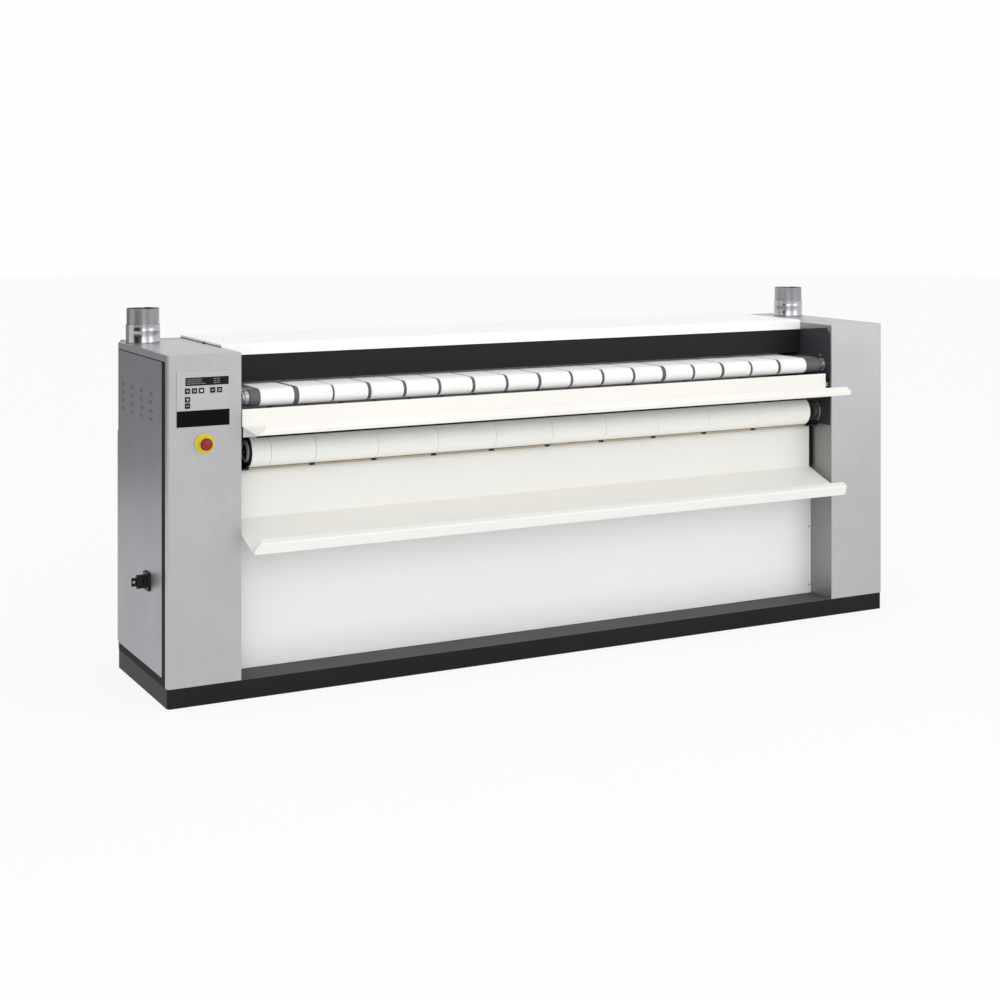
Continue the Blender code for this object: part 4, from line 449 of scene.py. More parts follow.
def turnedPiece(bm, profile, centre, steps=48, axis="X"):
    # a profile of (along, radius) points spun once round an axis through centre
    index = "XYZ".index(axis)

    def placed(along, first, second):
        spot = [first, second]
        spot.insert(index, along)
        return spot

    points = [bm.verts.new(placed(along, centre[0] + radius, centre[1])) for along, radius in profile]
    edges = [bm.edges.new(pair) for pair in zip(points, points[1:])]
    bmesh.ops.spin(bm, geom=points + edges, cent=placed(0, *centre), axis=placed(1, 0, 0), angle=math.tau,
                   steps=steps, use_merge=True)
    bmesh.ops.remove_doubles(bm, verts=bm.verts, dist=weld["turned"])
    bmesh.ops.recalc_face_normals(bm, faces=bm.faces)


def boltHead(bm, base, top, radius, spot, chamfer=0.0006, topShare=0.8):
    # a hexagon head along X from its base to its top, with the top's edge turned off
    slope = top + math.copysign(chamfer, base - top)
    profile = [(base, 0.0), (base, radius), (slope, radius), (top, radius * topShare), (top, 0.0)]
    turnedPiece(bm, profile, spot, steps=6)


def roundSpot(first, second, radius, degrees):
    # a place on a circle round (first, second)
    angle = math.radians(degrees)
    return first + radius * math.cos(angle), second + radius * math.sin(angle)


def axisOf(nodeName):
    # a roller's axis (y, z) and its radius, read from the node's box
    low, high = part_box(nodeName)
    y, z, radius = (low[1] + high[1]) / 2, (low[2] + high[2]) / 2, (high[2] - low[2]) / 2
    return round(y, 4), round(z, 4), round(radius, 4)


def wheelOf(nodeName, clear, side=1):
    # the circle that a belt follows round a roller
    y, z, radius = axisOf(nodeName)
    return {"y": y, "z": z, "radius": round(radius + clear, 4), "side": side}


def beltStrip(bm, wheels, xLow, xHigh, wall, stepDegrees):
    # one endless strip: straight runs pulled, wraps turned a few degrees at a time, UV in metres
    count = len(wheels)
    headings = []
    for i in range(count):
        here, there = wheels[i], wheels[(i + 1) % count]
        dy, dz = there["y"] - here["y"], there["z"] - here["z"]
        lean = (here["side"] * here["radius"] - there["side"] * there["radius"]) / math.hypot(dy, dz)
        headings.append(math.atan2(dz, dy) + math.asin(lean))

    def touchPoint(wheel, heading):
        out = wheel["side"] * wheel["radius"]
        return Vector((0, wheel["y"] + out * math.sin(heading), wheel["z"] - out * math.cos(heading)))

    first = touchPoint(wheels[0], headings[0])
    ends = [bm.verts.new((x, first.y, first.z)) for x in (xLow, xHigh)]
    edge = bm.edges.new(ends)
    along = {v: 0.0 for v in ends}
    travelled = 0.0
    faces = []
    for i in range(count):
        wheel = wheels[(i + 1) % count]
        run = touchPoint(wheel, headings[i]) - touchPoint(wheels[i], headings[i])
        turn = headings[(i + 1) % count] - headings[i]
        turn = turn % math.tau if wheel["side"] > 0 else -((-turn) % math.tau)
        steps = max(2, round(abs(math.degrees(turn)) / stepDegrees))
        moves = [(run, None)] + [(None, turn / steps)] * steps
        for shift, angle in moves:
            pulled = bmesh.ops.extrude_edge_only(bm, edges=[edge])["geom"]
            newVerts = only("Vert", pulled)
            edge = only("Edge", pulled)[0]
            faces += only("Face", pulled)
            if shift is not None:
                bmesh.ops.translate(bm, verts=newVerts, vec=shift)
                travelled += shift.length
            else:
                bmesh.ops.rotate(bm, verts=newVerts, cent=(0, wheel["y"], wheel["z"]),
                                 matrix=Matrix.Rotation(angle, 3, "X"))
                travelled += abs(angle) * wheel["radius"]
            for v in newVerts:
                along[v] = travelled
    uv = bm.loops.layers.uv.get("alongBelt") or bm.loops.layers.uv.new("alongBelt")
    for face in faces:
        for loop in face.loops:
            loop[uv].uv = (loop.vert.co.x, along[loop.vert])
    bmesh.ops.remove_doubles(bm, verts=[v for v in along if v.is_valid], dist=weld["belt"])
    faces = [f for f in faces if f.is_valid]
    bmesh.ops.recalc_face_normals(bm, faces=faces)
    bmesh.ops.solidify(bm, geom=faces, thickness=wall)
    return travelled


def beltPiece(name, belt, edges, finishName, stands):
    # strips side by side between each pair of edges, made as one piece
    bm = bmesh.new()
    for xLow, xHigh in edges:
        length = beltStrip(bm, belt["wheels"], xLow, xHigh, belt["wall"], belt["stepDegrees"])
    piece = roundEdges(finishPiece(name, bm, finishName, "machine", stands), belt["round"])


# plinth, columns, doors, back

shell = {"plinthTop": 0.067, "facing": 0.9, "bayWalls": (-1.2705, 1.3275), "bayDepth": 0.001}
plinth = softCopy("base_frame", "plinthPaint", width=0.0012)
# the plinth's up-facing top takes the lighter enamel: painted reflection
paintFaces(plinth, "litTopEnamel",
           lambda centre, normal: normal.z > shell["facing"] and centre.z > shell["plinthTop"])
for side in ("left", "right"):
    cover = softCopy(side + "_column_cover", "columnSteel", width=0.0005)
    # the cover's faces toward the bay take the darker sheet: painted shade
    paintFaces(cover, "shadedBaySteel", lambda centre, normal: abs(normal.x) > shell["facing"]
               and min(abs(centre.x - x) for x in shell["bayWalls"]) < shell["bayDepth"])
    # the doors take the darker sheet: painted shade
    softCopy(side + "_side_door", "shadedDoorSteel", width=0.0003)
    softCopy(side + "_door_latch", "machinedSteel", width=0.0005, body=side + "_latch")
# the rear cover takes the doors' darker sheet: painted shade
softCopy("rear_cover", "shadedDoorSteel", width=0.0005)
softCopy("lower_front_panel", "panelPowder", width=0.0006)
softCopy("hood_front_panel", "darkPaint", width=0.0006)
print("shell done")

# black strips in the door's gap and along its front edge, darkening the gap: painted shade
doorGapShade = {"skin": 0.0002, "sunk": 0.0014, "lip": 0.0004, "round": 0.0005,
            "y": (-0.2690, -0.2602, -0.2318, 0.3085),  # lip, front, door, back
            "z": (0.0690, 0.0942, 1.1889, 1.1925)}  # foot, sill, door's top, top
louvre = {"yFirst": -0.1005, "yPitch": 0.1167, "zFirst": 0.974, "zPitch": 0.0303, "columns": 4, "rows": 4,
          "size": (0.0017, 0.0240, 0.0085), "wall": 0.0007, "openBelow": -0.0022, "sharpDegrees": 60}
for side, face, out in (("left", -1.5365, -1), ("right", 1.5935, 1)):
    yLip, yFront, yDoor, yBack = doorGapShade["y"]
    zFoot, zSill, zDoor, zTop = doorGapShade["z"]
    sunk = sorted((face - out * doorGapShade["skin"], face - out * doorGapShade["sunk"]))
    lip = sorted((face + out * hair, face + out * doorGapShade["lip"]))
    strips = [(sunk, (yFront, zFoot), (yDoor, zTop)), (sunk, (yDoor, zFoot), (yBack, zSill)),
              (sunk, (yDoor, zDoor), (yBack, zTop)), (lip, (yLip, zFoot), (yDoor, zTop))]
    blocks = [((x[0], *low), (x[1], *high)) for x, low, high in strips]
    blockPiece(side + "_door_gap_shade", blocks, "gapShadeRubber", doorGapShade["round"], 3)
    bm = bmesh.new()  # a pressed hood over each slot, open below
    bmesh.ops.create_uvsphere(bm, u_segments=16, v_segments=8, radius=1.0)
    bmesh.ops.scale(bm, vec=louvre["size"], verts=bm.verts)
    for height, way in ((louvre["openBelow"], (0, 0, -1)), (0, (-out, 0, 0))):
        bmesh.ops.bisect_plane(bm, geom=bm.verts[:] + bm.edges[:] + bm.faces[:], dist=weld["cut"],
                               plane_co=(0, 0, height), plane_no=way, clear_outer=True)
    bmesh.ops.translate(bm, vec=(face, louvre["yFirst"], louvre["zFirst"]), verts=bm.verts)
    firstHood = bm.verts[:] + bm.edges[:] + bm.faces[:]
    for place in range(1, louvre["columns"] * louvre["rows"]):
        again = bmesh.ops.duplicate(bm, geom=firstHood)["geom"]
        row, column = divmod(place, louvre["columns"])
        shift = (0, column * louvre["yPitch"], row * louvre["zPitch"])
        bmesh.ops.translate(bm, vec=shift, verts=only("Vert", again))
    # the louvres take a darker sheet: painted shade under each louvre
    louvres = finishPiece(side + "_door_louvres", bm, "shadedLouvreSteel",
                          sharp=louvre["sharpDegrees"])
    pressed = louvres.modifiers.new("pressed sheet", "SOLIDIFY")
    pressed.thickness = louvre["wall"]
print("door seals and louvres done")

# hood and trays: folded sheet

hood = {"path": [(-0.085, 1.187), (-0.085, 1.2267), (0.4015, 1.2267), (0.4015, 1.217)], "wall": 0.0015,
        "bend": 0.003, "x": (-1.2701, 1.3271), "endLow": (-0.0845, 1.2198), "endHigh": (0.4000, 1.2262)}
hoodFoam = {"x": ((-1.2722, -1.2700), (1.3270, 1.3292)), "low": (-0.0830, 1.2168), "high": (0.3170, 1.2196)}
hoodScrews = {"x": (-1.2765, 1.3335), "y": 0.0992, "profile": [
    (1.2167, 0.0), (1.2167, 0.0055), (1.2205, 0.0055), (1.2222, 0.0040), (1.2222, 0.0)]}
bm = bmesh.new()
foldedSheet(bm, hood["path"], *hood["x"], hood["wall"], hood["bend"])
for xEnd, inwards in zip(hood["x"], (1, -1)):
    xNear, xFar = sorted((xEnd + inwards * hair, xEnd + inwards * hood["wall"]))
    addBlock(bm, (xNear, *hood["endLow"]), (xFar, *hood["endHigh"]))
evenShade(finishPiece("hood_sheet", bm, "hoodPowder", stands=("hood_top",)))
foam = [((xNear, *hoodFoam["low"]), (xFar, *hoodFoam["high"])) for xNear, xFar in hoodFoam["x"]]
blockPiece("hood_end_seals", foam, "greyFoam", width=0.0004)  # under the hood's ends
bm = bmesh.new()
for x in hoodScrews["x"]:
    turnedPiece(bm, hoodScrews["profile"], (x, hoodScrews["y"]), steps=16, axis="Z")
finishPiece("hood_end_screws", bm, "darkPaint")

# the upper tray's powder is a step lighter and the lower tray's a step darker: painted light and shade
trays = {
    "infeed_tray": {
        "path": [(-0.2775, 1.014), (-0.2775, 0.953), (-0.4415, 0.940), (-0.4475, 0.957), (-0.4175, 0.9725)],
        "cut": {"frontOf": -0.42, "at": (-1.2609, 0, 0.942), "way": (-0.6, 0, 0.8)}, "coat": "litTrayPowder",
        "bracket": (-0.2775, 0.965, 0.998), "walls": (-1.2719, 1.3289)},
    "exit_tray": {
        "path": [(-0.1675, 0.781), (-0.1675, 0.610), (-0.4055, 0.5245), (-0.4175, 0.5625), (-0.394, 0.574)],
        "cut": {"frontOf": -0.393, "at": (-1.2609, 0, 0.545), "way": (-0.7, 0, 0.7)}, "coat": "shadedTrayPowder",
        "bracket": (-0.1675, 0.628, 0.772), "walls": (-1.2701, 1.3271)},
}
traySheet = {"xLow": -1.2609, "xHigh": 1.3104, "wall": 0.0015, "bend": 0.003}
bracket = {"off": 0.0001, "depth": 0.0028, "overlap": 0.018, "round": 0.0006}
for trayName, tray in trays.items():
    bm = bmesh.new()
    foldedSheet(bm, tray["path"], **traySheet, cornerCut=tray["cut"])
    evenShade(finishPiece(trayName + "_sheet", bm, tray["coat"], stands=(trayName,)))
    y, zLow, zHigh = tray["bracket"]  # the brackets carry the tray on the walls
    spans = ((tray["walls"][0], traySheet["xLow"] + bracket["overlap"]),
             (traySheet["xHigh"] - bracket["overlap"], tray["walls"][1]))
    yFront, yBack = y + bracket["off"], y + bracket["depth"]
    blocks = [((xLow, yFront, zLow), (xHigh, yBack, zHigh)) for xLow, xHigh in spans]
    blockPiece(trayName + "_brackets", blocks, "darkPaint", bracket["round"])

# under the infeed tray: a dark angle that stands in for the deep shade there, and a grey end plate for the
# shaded left end: painted shade
shadeAngle = {"x": (-1.2100, 1.3104), "y": (-0.2900, -0.2785), "z": (0.9115, 0.9516), "wall": 0.0015,
             "endPlate": (-1.2609, -1.2102, 0.9170), "round": 0.0004}
(xLow, xHigh), (yFront, yBack), (zLow, zHigh) = shadeAngle["x"], shadeAngle["y"], shadeAngle["z"]
yFace = yFront + shadeAngle["wall"]
blockPiece("infeed_tray_shade_angle", [  # the dark angle under the infeed tray
    ((xLow, yFront, zLow), (xHigh, yFace, zHigh)),
    ((xLow, yFace, zHigh - shadeAngle["wall"]), (xHigh, yBack, zHigh))],
    "darkPaint", shadeAngle["round"])
# the end plate's grey sheet is painted shade
plateLeft, plateRight, plateFoot = shadeAngle["endPlate"]
blockPiece("infeed_tray_end_plate", [((plateLeft, yFront, plateFoot), (plateRight, yFace, zHigh))],
           "bedSheet", shadeAngle["round"])
wallParts = {  # at the right wall: the infeed tray's bright angle, and a black strip behind the exit tray that darkens the gap there: painted shade
    "angle": [((1.3105, -0.2800, 0.9600), (1.3272, -0.2785, 0.9780)),
              ((1.3258, -0.2785, 0.9600), (1.3272, -0.2680, 0.9780))],
    "gapShade": [((1.3112, -0.1690, 0.6260), (1.3272, -0.1650, 0.7805))]}
blockPiece("infeed_tray_wall_bracket", wallParts["angle"], "machinedSteel", width=0.0005)
blockPiece("exit_tray_wall_gap_shade", wallParts["gapShade"], "gapShadeRubber", width=0.0006)

guide = {"path": [(-0.1800, 0.7855), (-0.2005, 0.7855), (-0.2005, 0.7930)], "x": (-1.2074, 1.2644),
         "wall": 0.003, "bend": 0.0008, "bendSteps": 3, "walls": (-1.2701, 1.3271), "off": 0.0002,
         "blockLow": (-0.2005, 0.7855), "blockHigh": (-0.1800, 0.7930)}
fingers = {"middle": 0.0175, "pitch": 0.245, "eachSide": 4, "low": (-0.0150, -0.2012, 0.7860),
           "high": (0.0065, -0.1978, 0.7945), "round": 0.0005}
bm = bmesh.new()
foldedSheet(bm, guide["path"], *guide["x"], guide["wall"], guide["bend"], guide["bendSteps"])
evenShade(finishPiece("guide_bar_angle", bm, "guideBrass", stands=("belt_guide_bar",)))
spans = ((guide["walls"][0], guide["x"][0] - guide["off"]), (guide["x"][1] + guide["off"], guide["walls"][1]))
blocks = [((xLow, *guide["blockLow"]), (xHigh, *guide["blockHigh"])) for xLow, xHigh in spans]
for i in range(-fingers["eachSide"], fingers["eachSide"] + 1):  # the fingers part the belts
    shift = Vector((fingers["middle"] + i * fingers["pitch"], 0, 0))
    blocks.append((shift + Vector(fingers["low"]), shift + Vector(fingers["high"])))
blockPiece("guide_bar_fingers", blocks, "blackPlastic", fingers["round"])
print("hood, trays and guide bar done")

# feed belts and their front roller

feedBelts = {"rollers": ["feed_front_roller", "feed_rear_roller"], "clear": 0.0028, "wall": 0.0025,
             "stepDegrees": 10, "round": 0.0006, "x": (-1.1877, 1.2187), "firstGap": -1.0516, "pitch": 0.1422,
             "gaps": (0.0200, 0.0080, 0.0138, 0.0126, 0.0120, 0.0130, 0.0123, 0.0133, 0.0118, 0.0121, 0.0120,
                      0.0180, 0.0116, 0.0145, 0.0110, 0.0146)}
feedBelts["wheels"] = [wheelOf(name, feedBelts["clear"]) for name in feedBelts["rollers"]]
ends = [feedBelts["x"][0]]
for i, gap in enumerate(feedBelts["gaps"]):
    middle = feedBelts["firstGap"] + i * feedBelts["pitch"]
    ends += [middle - gap / 2, middle + gap / 2]
ends.append(feedBelts["x"][1])
beltPiece("feed_tapes", feedBelts, list(zip(ends[::2], ends[1::2])), "feedTape",
          ("feed_belts",))

feedRoller = {"steps": 64, "grip": (-1.2269, 1.2964), "profile": [
    (-1.2862, 0.0), (-1.2862, 0.0095), (-1.2855, 0.01), (-1.2514, 0.01), (-1.2514, 0.0202), (-1.2506, 0.021),
    (-1.2440, 0.021), (-1.2436, 0.0235), (-1.2428, 0.0245), (-1.2282, 0.0245), (-1.2274, 0.0235),
    (-1.2268, 0.0235), (-1.2262, 0.0275), (-1.2252, 0.0285), (1.2954, 0.0285), (1.2964, 0.0275),
    (1.2966, 0.0212), (1.3076, 0.021), (1.3084, 0.0202), (1.3084, 0.01), (1.3425, 0.01), (1.3432, 0.0095),
    (1.3432, 0.0)]}
yAxis, zAxis, gripRadius = axisOf("feed_front_roller")
bm = bmesh.new()
turnedPiece(bm, feedRoller["profile"], (yAxis, zAxis), feedRoller["steps"])
uv = bm.loops.layers.uv.new("roundRoller")
for face in bm.faces:
    middle = face.calc_center_median()
    base = math.atan2(middle.z - zAxis, middle.y - yAxis)
    for loop in face.loops:
        at = loop.vert.co
        turn = (math.atan2(at.z - zAxis, at.y - yAxis) - base + math.pi) % math.tau - math.pi
        loop[uv].uv = (at.x, (base + turn) * gripRadius)
roller = finishPiece("feed_front_roller_dressed", bm, "gripRubber", "feed_roller",
                     ("feed_front_roller",))
paintFaces(roller, "machinedSteel",
           lambda centre, normal: not feedRoller["grip"][0] <= centre.x <= feedRoller["grip"][1])

feedFlange = {"profile": [(1.3290, 0.0106), (1.3290, 0.0265), (1.3262, 0.0270), (1.3225, 0.0268),
                          (1.3218, 0.0180), (1.3150, 0.0175), (1.3142, 0.0168), (1.3142, 0.0106)],
              "nut": {"base": 1.3222, "top": 1.3182, "radius": 0.0036},
              "nutDegrees": (110, 230, 350), "nutCircle": 0.0215}
plateBolt = {"base": 1.3291, "top": 1.3238, "radius": 0.0075, "spot": (-0.2230, 1.0847), "chamfer": 0.0008,
             "topShare": 0.82}
bm = bmesh.new()  # the flange that holds the feed roller's right end, its nuts, and a bolt beside it
turnedPiece(bm, feedFlange["profile"] + feedFlange["profile"][:1], (yAxis, zAxis), steps=40)
for degrees in feedFlange["nutDegrees"]:
    boltHead(bm, **feedFlange["nut"], spot=roundSpot(yAxis, zAxis, feedFlange["nutCircle"], degrees))
boltHead(bm, **plateBolt)
finishPiece("feed_roller_flange", bm, "machinedSteel")
print("feed belts done")

# ironing belts and the lower front roller

ironing = {"rollers": ["ironing_front_roller", "ironing_back_lower_roller", "ironing_back_upper_roller",
                       "ironing_upper_roller"], "clear": 0.0043, "cylinder": "heated_cylinder",
           "cylinderClear": 0.0006, "wall": 0.004, "stepDegrees": 6, "round": 0.0005, "gap": 0.0012,
           "seams": [-1.2074, -1.1345, -0.9625, -0.7175, -0.4725, -0.2275, 0.0175, 0.2625, 0.5075, 0.7525,
                     0.9975, 1.2644]}
ironing["wheels"] = [wheelOf(name, ironing["clear"]) for name in ironing["rollers"]]
ironing["wheels"].append(wheelOf(ironing["cylinder"], ironing["cylinderClear"], -1))
edges = [(xLow, xHigh - ironing["gap"]) for xLow, xHigh in zip(ironing["seams"], ironing["seams"][1:])]
edges[-1] = tuple(ironing["seams"][-2:])  # no gap at the right end
beltPiece("ironing_felts", ironing, edges, "ironingFelt", ("ironing_belts",))

mirrorAt = 0.057  # twice the X of the machine's middle
ironingRoller = {"steps": 72, "shaft": 0.0095, "endRing": (0.0278, 0.0395), "leftHalf": [
    (-1.2862, 0.0), (-1.2862, 0.0095), (-1.2855, 0.01), (-1.2150, 0.01), (-1.2150, 0.0270), (-1.2195, 0.0290),
    (-1.2200, 0.0310), (-1.2190, 0.0345), (-1.2160, 0.0385), (-1.2124, 0.0400), (-1.2124, 0.0535),
    (-1.2114, 0.0545)]}
rightHalf = [(mirrorAt - x, radius) for x, radius in reversed(ironingRoller["leftHalf"])]
yAxis, zAxis = axisOf("ironing_front_roller")[:2]


def fromAxis(centre):
    return math.hypot(centre.y - yAxis, centre.z - zAxis)


bm = bmesh.new()
turnedPiece(bm, ironingRoller["leftHalf"] + rightHalf, (yAxis, zAxis), ironingRoller["steps"])
roller = finishPiece("ironing_front_roller_dressed", bm, "blackRubber",
                     "front_ironing_roller", ("ironing_front_roller",))
paintFaces(roller, "castAluminium", lambda centre, normal: fromAxis(centre) < ironingRoller["shaft"]
           or ironingRoller["endRing"][0] < fromAxis(centre) < ironingRoller["endRing"][1])

bearings = {"steps": 56, "profile": [
    (-1.2719, 0.0104), (-1.2719, 0.0490), (-1.2711, 0.0500), (-1.2657, 0.0500), (-1.2645, 0.0490),
    (-1.2645, 0.0450), (-1.2657, 0.0440), (-1.2657, 0.0310), (-1.2641, 0.0300), (-1.2567, 0.0300),
    (-1.2559, 0.0292), (-1.2559, 0.0104)],
    "bolt": {"base": -1.2652, "top": -1.2608, "radius": 0.0042, "circle": 0.0372,
             "degrees": (45, 135, 225, 315)},
    "rim": 0.0442, "boltRing": (0.0320, 0.0425), "boltMiddle": -1.263, "boltDepth": 0.0022}
for side in ("left", "right"):
    flip = (lambda x: x) if side == "left" else (lambda x: mirrorAt - x)
    profile = [(flip(x), radius) for x, radius in bearings["profile"]]
    bolt = bearings["bolt"]
    bm = bmesh.new()
    turnedPiece(bm, profile + profile[:1], (yAxis, zAxis), bearings["steps"])
    for degrees in bolt["degrees"]:
        spot = roundSpot(yAxis, zAxis, bolt["circle"], degrees)
        boltHead(bm, flip(bolt["base"]), flip(bolt["top"]), bolt["radius"], spot)
    bearing = finishPiece(side + "_roller_bearing_dressed", bm, "castingPaint",
                          stands=(side + "_front_roller_bearing",))
    paintFaces(bearing, "machinedSteel", lambda centre, normal: fromAxis(centre) > bearings["rim"]
               or bearings["boltRing"][0] < fromAxis(centre) < bearings["boltRing"][1]
               and abs(centre.x - flip(bearings["boltMiddle"])) < bearings["boltDepth"])
print("ironing belts done")

# control panel, keys, stop button

softCopy("control_panel", "panelFilm", width=0.0003)
band = {"face": -0.2998, "out": 0.0003, "low": (-1.5045, 0.967), "high": (-1.3145, 1.023)}
(xLow, zLow), (xHigh, zHigh) = band["low"], band["high"]
ink = ((xLow, band["face"] - band["out"], zLow), (xHigh, band["face"] - hair, zHigh))
blockPiece("bare_black_band", [ink], "blackInk")

display = {"face": -0.2995, "out": 0.0002, "zTop": 1.1325, "rowPitch": 0.0072, "cells": [
    {"x": -1.4690, "pitch": 0.0046, "wide": 0.0030, "tall": 0.0042, "counts": (12, 12, 15)},
    {"x": -1.372, "pitch": 0.0125, "wide": 0.010, "tall": 0.0034, "counts": (2, 2, 2)}]}
blocks = []
for cell in display["cells"]:
    for row, count in enumerate(cell["counts"]):
        for k in range(count):
            x, z = cell["x"] + k * cell["pitch"], display["zTop"] - row * display["rowPitch"]
            blocks.append(((x, display["face"] - display["out"], z - cell["tall"]),
                           (x + cell["wide"], display["face"] - hair, z)))
blockPiece("display_cells", blocks, "dimInk")

keyLook = {"corner": 0.0018, "cornerSteps": 4, "round": 0.0005, "mark": 0.0002}
keyMarks = {  # the bars of each key's generic mark: middle x, middle z, width, height
    "one": [(0, 0, 0.002, 0.009), (0, 0, 0.009, 0.002)],
    "two": [(-0.0025, 0, 0.002, 0.008), (0.0025, 0, 0.002, 0.008)],
    "three": [(0, 0, 0.008, 0.008)],
    "four": [(0, 0, 0.009, 0.002)],
    "five": [(0, 0.0025, 0.009, 0.002), (0, -0.0025, 0.009, 0.002)],
    "six": [(0, 0.002, 0.008, 0.003), (0, -0.003, 0.003, 0.004)],
    "seven": [(-0.003, 0, 0.003, 0.003), (0.003, 0, 0.003, 0.003)],
}
for number, (word, bars) in enumerate(keyMarks.items(), 1):
    nodeName, body = "key_%d" % number, "key_" + word
    low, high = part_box(nodeName)
    bm = bmesh.new()
    addBlock(bm, low, high)
    upright = [e for e in bm.edges if abs(e.verts[0].co.y - e.verts[1].co.y) > keyLook["corner"]]
    bmesh.ops.bevel(bm, geom=upright, offset=keyLook["corner"], offset_type="OFFSET",
                    segments=keyLook["cornerSteps"], profile=0.5, affect="EDGES", material=-1)
    cap = finishPiece(nodeName + "_cap", bm, "blackPlastic", body, (nodeName,))
    roundEdges(cap, keyLook["round"], 3)
    xMid, zMid, yFace = (low[0] + high[0]) / 2, (low[2] + high[2]) / 2, low[1]
    blocks = [((xMid + dx - wide / 2, yFace - keyLook["mark"], zMid + dz - tall / 2),
               (xMid + dx + wide / 2, yFace, zMid + dz + tall / 2)) for dx, dz, wide, tall in bars]
    blockPiece(nodeName + "_mark", blocks, "paleInk", body=body)

stop = {"spot": (-1.4045, 0.906), "collar": [
    (-0.2978, 0.0115), (-0.2978, 0.0350), (-0.2985, 0.0360), (-0.3005, 0.0360), (-0.3012, 0.0353),
    (-0.3018, 0.0190), (-0.3040, 0.0172), (-0.3090, 0.0158), (-0.3098, 0.0150), (-0.3098, 0.0115),
    (-0.2978, 0.0115)], "button": [
    (-0.2795, 0.0), (-0.2795, 0.0100), (-0.3160, 0.0100), (-0.3160, 0.0195), (-0.3166, 0.0208),
    (-0.3182, 0.0215), (-0.3205, 0.0215), (-0.3250, 0.0210), (-0.3300, 0.0188), (-0.3340, 0.0142),
    (-0.3360, 0.0085), (-0.3368, 0.0)]}
bm = bmesh.new()
turnedPiece(bm, stop["collar"], stop["spot"], steps=64, axis="Y")
finishPiece("stop_collar_dressed", bm, "yellowPlastic",
            stands=("emergency_stop_collar",), sharp=40)
bm = bmesh.new()
turnedPiece(bm, stop["button"], stop["spot"], steps=56, axis="Y")
finishPiece("stop_mushroom", bm, "redPlastic", "stop_button",
            ("emergency_stop_button",), sharp=50)
softCopy("isolator_plate", "blackPlastic", width=0.0012)
softCopy("isolator_handle", "blackPlastic", width=0.0009, body="isolator")
print("controls done")

# flues: rolled rims, sleeves with beads and rivets

flue = {"y": 0.2525, "steps": 72,
        "pipe": [(1.1303, 0.0600), (1.3420, 0.0600), (1.3438, 0.0604), (1.3450, 0.0598), (1.3450, 0.0592),
                 (1.3438, 0.0588), (1.3420, 0.0590), (1.1303, 0.0590), (1.1303, 0.0600)],
        "sleeve": [(1.2170, 0.0605), (1.2170, 0.0630), (1.2180, 0.0635), (1.2240, 0.0635), (1.2255, 0.0628),
                   (1.2600, 0.0628), (1.2620, 0.0635), (1.2650, 0.0635), (1.2670, 0.0628), (1.2800, 0.0628),
                   (1.2830, 0.0635), (1.2852, 0.0635), (1.2860, 0.0628), (1.2860, 0.0605), (1.2170, 0.0605)]}
rivets = {"heights": (1.232, 1.252), "degrees": -8, "circle": 0.0633, "radius": 0.0028, "flat": (0.6, 1, 1)}
for side, x in (("left", -1.4615), ("right", 1.5185)):
    for part, finishName in (("pipe", "pipeSheet"), ("sleeve", "flueSheet")):
        bm = bmesh.new()
        turnedPiece(bm, flue[part], (x, flue["y"]), flue["steps"], axis="Z")
        nodeName = side + "_flue_" + part
        finishPiece(nodeName + "_dressed", bm, finishName, stands=(nodeName,))
    bm = bmesh.new()
    for z in rivets["heights"]:
        rivet = bmesh.ops.create_uvsphere(bm, u_segments=12, v_segments=8, radius=rivets["radius"])["verts"]
        bmesh.ops.scale(bm, vec=rivets["flat"], verts=rivet)
        spot = roundSpot(x, flue["y"], rivets["circle"], rivets["degrees"])
        bmesh.ops.translate(bm, vec=(*spot, z), verts=rivet)
    finishPiece(side + "_flue_rivets", bm, "machinedSteel")
print("flues done")

# screws: the lower panel's, the bay walls' and the rear cover's

screws = {"radius": 0.0045, "height": 0.0022, "spots":
          [("Y", -1, (x, -0.1583, z)) for x in (1.3168, -1.2600) for z in (0.3504, 0.1031)]
          + [("X", out, (x, -0.2764, z)) for x, out in ((1.3274, -1), (-1.2704, 1)) for z in (0.6725, 0.4495)]
          + [("Y", 1, (-1.4400 + 0.4895 * k, 0.4075, z)) for k in range(7) for z in (0.892, 1.195)]}
headShape = [(0, 0), (0, 1), (0.6, 1), (1, 0.7), (1, 0.42), (0.55, 0.36), (0.55, 0)]  # height, radius
bm = bmesh.new()
for axis, out, spot in screws["spots"]:
    index = "XYZ".index(axis)
    centre = tuple(spot[i] for i in range(3) if i != index)
    head = [(spot[index] + out * screws["height"] * up, screws["radius"] * wide) for up, wide in headShape]
    turnedPiece(bm, head, centre, steps=16, axis=axis)
finishPiece("panel_screws", bm, "machinedSteel")
print("screws done")

# camera

view = {"place": (-3.332, -6.141, 1.789), "turnDegrees": (90, 0, -27.84), "lens": 63.0, "sensor": 36.0,
        "shift": -0.311, "far": 200}
photoCamera = bpy.data.cameras.new("photo_camera")
photoCamera.lens = view["lens"]
photoCamera.sensor_width = view["sensor"]
photoCamera.shift_y = view["shift"]
photoCamera.clip_end = view["far"]
viewer = newObject("photo_camera", photoCamera)
viewer.location = view["place"]
viewer.rotation_euler = [math.radians(degrees) for degrees in view["turnDegrees"]]
bpy.context.scene.camera = viewer
bpy.context.scene.view_settings.view_transform = "Standard"

# floor, world and lamps


def emptyFinish(name):
    finish = bpy.data.materials.new(name)
    finish.use_nodes = True
    finish.node_tree.nodes.clear()
    return finish, finish.node_tree


def seenRays(tree):
    # 1 for the rays that show the backdrop, and 0 for those that light the object
    rays = addNode(tree, "LightPath", {})
    seen = rays.outputs["Is Camera Ray"]
    for kind in ("Is Glossy Ray", "Is Transmission Ray"):
        seen = addNode(tree, "Math", {"operation": "MAXIMUM"}, {0: seen, 1: rays.outputs[kind]}).outputs[0]
    return seen


